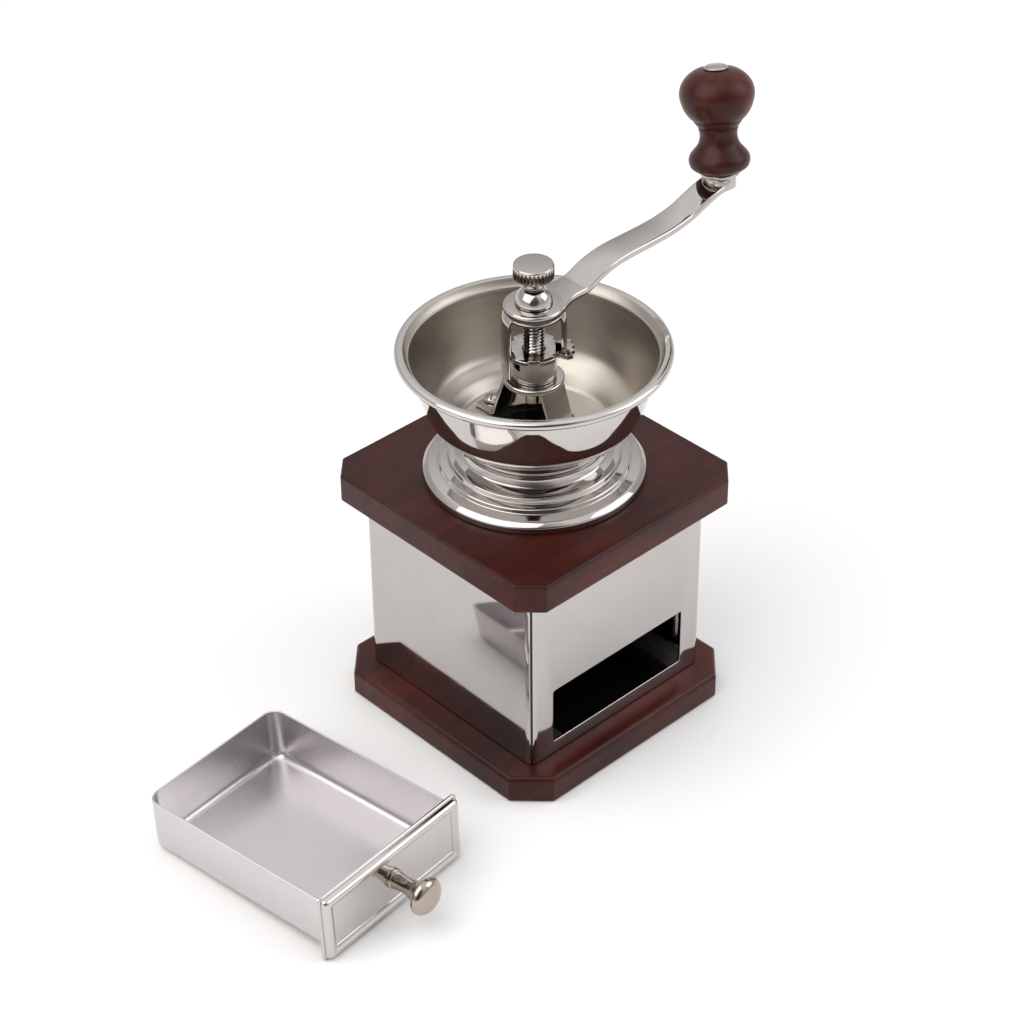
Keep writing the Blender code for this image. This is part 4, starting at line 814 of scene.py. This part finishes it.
def make_drawer():
    """Tray pressed from sheet, front with a raised border round a sunk panel, and the knob."""
    wide = 69.4 * MM
    tall = 23.8 * MM
    wall = 0.9 * MM
    near, far = 0.3 * MM, TRAY_LENGTH

    def outline(inset):
        """The tray's outline drawn in by an inset."""
        half = wide / 2 - inset
        corners = [(half, near + inset), (half, far - inset), (-half, far - inset),
                   (-half, near + inset)]
        far_round, near_round = (max(corner * MM - inset, 0.6 * MM) for corner in (6.0, 2.5))
        return rounded(corners, [near_round, far_round, far_round, near_round], 10, closed=True)

    quarter = np.linspace(0, math.pi / 2, 9)
    rows = [(12 * MM, 0.0)]
    rows += [(TRAY_FOLD * (1 - math.sin(a)), TRAY_FOLD * (1 - math.cos(a))) for a in quarter]
    rows += [(0.0, tall - 0.5 * MM), (0.12 * MM, tall - 0.12 * MM), (0.35 * MM, tall),
             (wall - 0.3 * MM, tall), (wall - 0.08 * MM, tall - 0.12 * MM), (wall, tall - 0.5 * MM)]
    bend = TRAY_FOLD - wall
    rows += [(wall + bend * (1 - math.sin(a)), wall + bend * (1 - math.cos(a)))
             for a in quarter[::-1]]
    rows += [(12 * MM, wall)]
    piece("tray", [moved(loft(stacked(outline, rows)), DRAWER)], TRAY, "drawer", "drawer_tray",
          sharp=40)

    front_wide = 75.0 * MM

    def border(inset):
        """The front's outline drawn in by an inset."""
        half = front_wide / 2 - inset
        corners = [(half, -FRONT_DROP + inset), (half, FRONT_HEIGHT - FRONT_DROP - inset),
                   (-half, FRONT_HEIGHT - FRONT_DROP - inset), (-half, -FRONT_DROP + inset)]
        return rounded(corners, max(2.0 * MM - 0.3 * inset, 0.5 * MM), 8, closed=True)

    flange = 1.3 * MM
    rows = [(0.5 * MM, 0.0), (0.0, 0.4 * MM), (0.0, flange - 0.4 * MM), (0.4 * MM, flange)]
    swell = np.linspace(0, math.pi, 17)
    rows += [(3.1 * MM - 2.1 * MM * math.cos(a), flange + (FRONT_DEPTH - flange) * math.sin(a) ** 0.8)
             for a in swell[:11]]
    rows += [(5.2 * MM + 0.5 * MM * (1 - math.cos(a)),
              FRONT_DEPTH - 0.95 * MM - 0.45 * MM * math.sin(a)) for a in quarter]
    rings = []
    for inset, depth in rows:
        flat = border(inset)
        rings.append(np.column_stack([flat[:, 0], np.full(len(flat), -depth), flat[:, 1]]))
    piece("front", [moved(loft(rings), DRAWER)], FRONT, "drawer", "drawer_front",
          sharp=45)

    height = FRONT_HEIGHT / 2 - FRONT_DROP
    outward = DRAWER @ Matrix.Translation((0, 0, height)) @ Matrix.Rotation(math.pi / 2, 4, "X")
    panel = FRONT_DEPTH - 1.4 * MM
    seat = panel + 0.05 * MM
    tip = panel + 19.5 * MM
    knots = [(0.0, tip), (3.2 * MM, tip - 0.15 * MM), (5.6 * MM, tip - 0.9 * MM),
             (7.1 * MM, tip - 2.2 * MM), (7.55 * MM, tip - 3.7 * MM), (7.0 * MM, tip - 5.0 * MM),
             (5.4 * MM, tip - 6.1 * MM), (4.1 * MM, tip - 8.2 * MM), (3.3 * MM, tip - 11.5 * MM),
             (3.2 * MM, tip - 14.5 * MM), (3.5 * MM, seat + 2.1 * MM)]
    curve = flowing(knots, 90)
    curve[:, 0] = np.clip(curve[:, 0], 0, None)
    base = rounded([(3.5 * MM, seat + 1.6 * MM), (4.0 * MM, seat + 1.4 * MM), (4.0 * MM, seat),
                    (0, seat)], np.array([0, 0.2, 0.2, 0]) * MM, 3)
    piece("knob", [moved(lathe(np.concatenate([curve, base]), 96), outward)], BRASSY, "drawer",
          "drawer_knob", sharp=50)


make_drawer()


# ---- pieces kept from the frame ------------------------------------------------------------
KEPT = {"drawer_runner_left": TRAY, "drawer_runner_right": TRAY, "burr_ring": IRON,
        "burr_cone": IRON, "bearing_bush": BRONZE, "thrust_washer": ZINC, "burr_washer": ZINC,
        "burr_nut": ZINC, "knob_screw": ZINC}
KEPT.update({f"tie_rod_{number}": ZINC for number in range(1, 5)})
KEPT.update({f"clamp_screw_{number}": ZINC for number in range(1, 4)})
for name, finish in KEPT.items():
    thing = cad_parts[name]
    if not thing.material_slots:
        thing.data.materials.append(finish)
    for slot in thing.material_slots:
        slot.material = finish


# ---- floor, light and camera ---------------------------------------------------------------
def make_floor():
    """A wide pale floor, just under the lowest piece."""
    mesh = bpy.data.meshes.new("floor")
    mesh.from_pydata([(-6, -6, 0), (6, -6, 0), (6, 6, 0), (-6, 6, 0)], [], [(0, 1, 2, 3)])
    floor = bpy.data.objects.new("floor", mesh)
    floor.location.z = -0.02 * MM
    bpy.context.scene.collection.objects.link(floor)
    made, _, shader, _ = start_finish("pale_floor", 0.0, 0.9)
    shader.inputs["Base Color"].default_value = (0.93, 0.925, 0.92, 1.0)
    mesh.materials.append(made)


def aim(thing, place, target):
    """Point a light's -Z at a target."""
    way = Vector(target) - Vector(place)
    thing.rotation_euler = way.to_track_quat("-Z", "Y").to_euler()
    thing.location = place


def area(name, place, target, size, power, colour=(1, 1, 1)):
    """A soft square light."""
    light = bpy.data.lights.new(name, "AREA")
    light.size = size
    light.energy = power
    light.color = colour
    thing = bpy.data.objects.new(name, light)
    bpy.context.scene.collection.objects.link(thing)
    aim(thing, place, target)


def make_world():
    """Pale studio: light all round, with a darker part on the viewer's side and over the horizon."""
    world = bpy.data.worlds.new("studio")
    bpy.context.scene.world = world
    world.use_nodes = True
    tree = world.node_tree
    way = node(tree, "ShaderNodeTexCoord").outputs["Generated"]
    split = node(tree, "ShaderNodeSeparateXYZ", {"Vector": way})
    rise = ramp(tree, split.outputs["Z"], [(0.0, grey(0.92)), (0.10, grey(0.55)),
                                           (0.40, grey(0.50)), (0.75, grey(0.95))])
    toward = node(tree, "ShaderNodeVectorMath", {0: way, 1: (-0.58, -0.62, 0.52)},
                  operation="DOT_PRODUCT").outputs["Value"]
    dark = ramp(tree, toward, [(0.76, grey(1.0)), (0.92, grey(0.16))])
    tone = mix(tree, 1.0, rise, dark, "MULTIPLY")
    back = tree.nodes["Background"]
    tree.links.new(tone, back.inputs["Color"])
    back.inputs["Strength"].default_value = 1.15


def make_camera():
    """Camera at the viewing angle: turned, tipped and slightly rolled, looking down at the mill."""
    yaw, pitch, roll = (math.radians(angle) for angle in (-43.16, 36.40, -0.57))
    back = np.array([math.sin(yaw) * math.cos(pitch), -math.cos(yaw) * math.cos(pitch),
                     math.sin(pitch)])
    right = np.cross([0, 0, 1.0], back)
    right /= np.linalg.norm(right)
    up = np.cross(back, right)
    c, s = math.cos(roll), math.sin(roll)
    rows = np.array([c * right + s * up, -s * right + c * up, back])
    origin_seen = np.array([9.56, -69.58, -1105.2]) * MM     # the frame's origin, in camera axes
    place = -rows.T @ origin_seen
    camera = bpy.data.cameras.new("camera")
    camera.sensor_width = 36.0
    camera.lens = 94.04297
    camera.clip_start = 0.01
    thing = bpy.data.objects.new("camera", camera)
    bpy.context.scene.collection.objects.link(thing)
    whole = np.eye(4)
    whole[:3, :3] = rows.T
    whole[:3, 3] = place
    thing.matrix_world = Matrix(whole.tolist())
    bpy.context.scene.camera = thing


make_floor()
area("key", (-0.9, 0.1, 1.2), (0, 0, 0.1), 1.5, 12.0, (1.0, 0.98, 0.95))
area("fill", (0.9, -0.8, 0.9), (0, 0, 0.1), 0.9, 5.0, (0.97, 0.98, 1.0))
make_world()
make_camera()
bpy.context.scene.view_settings.view_transform = "Standard"
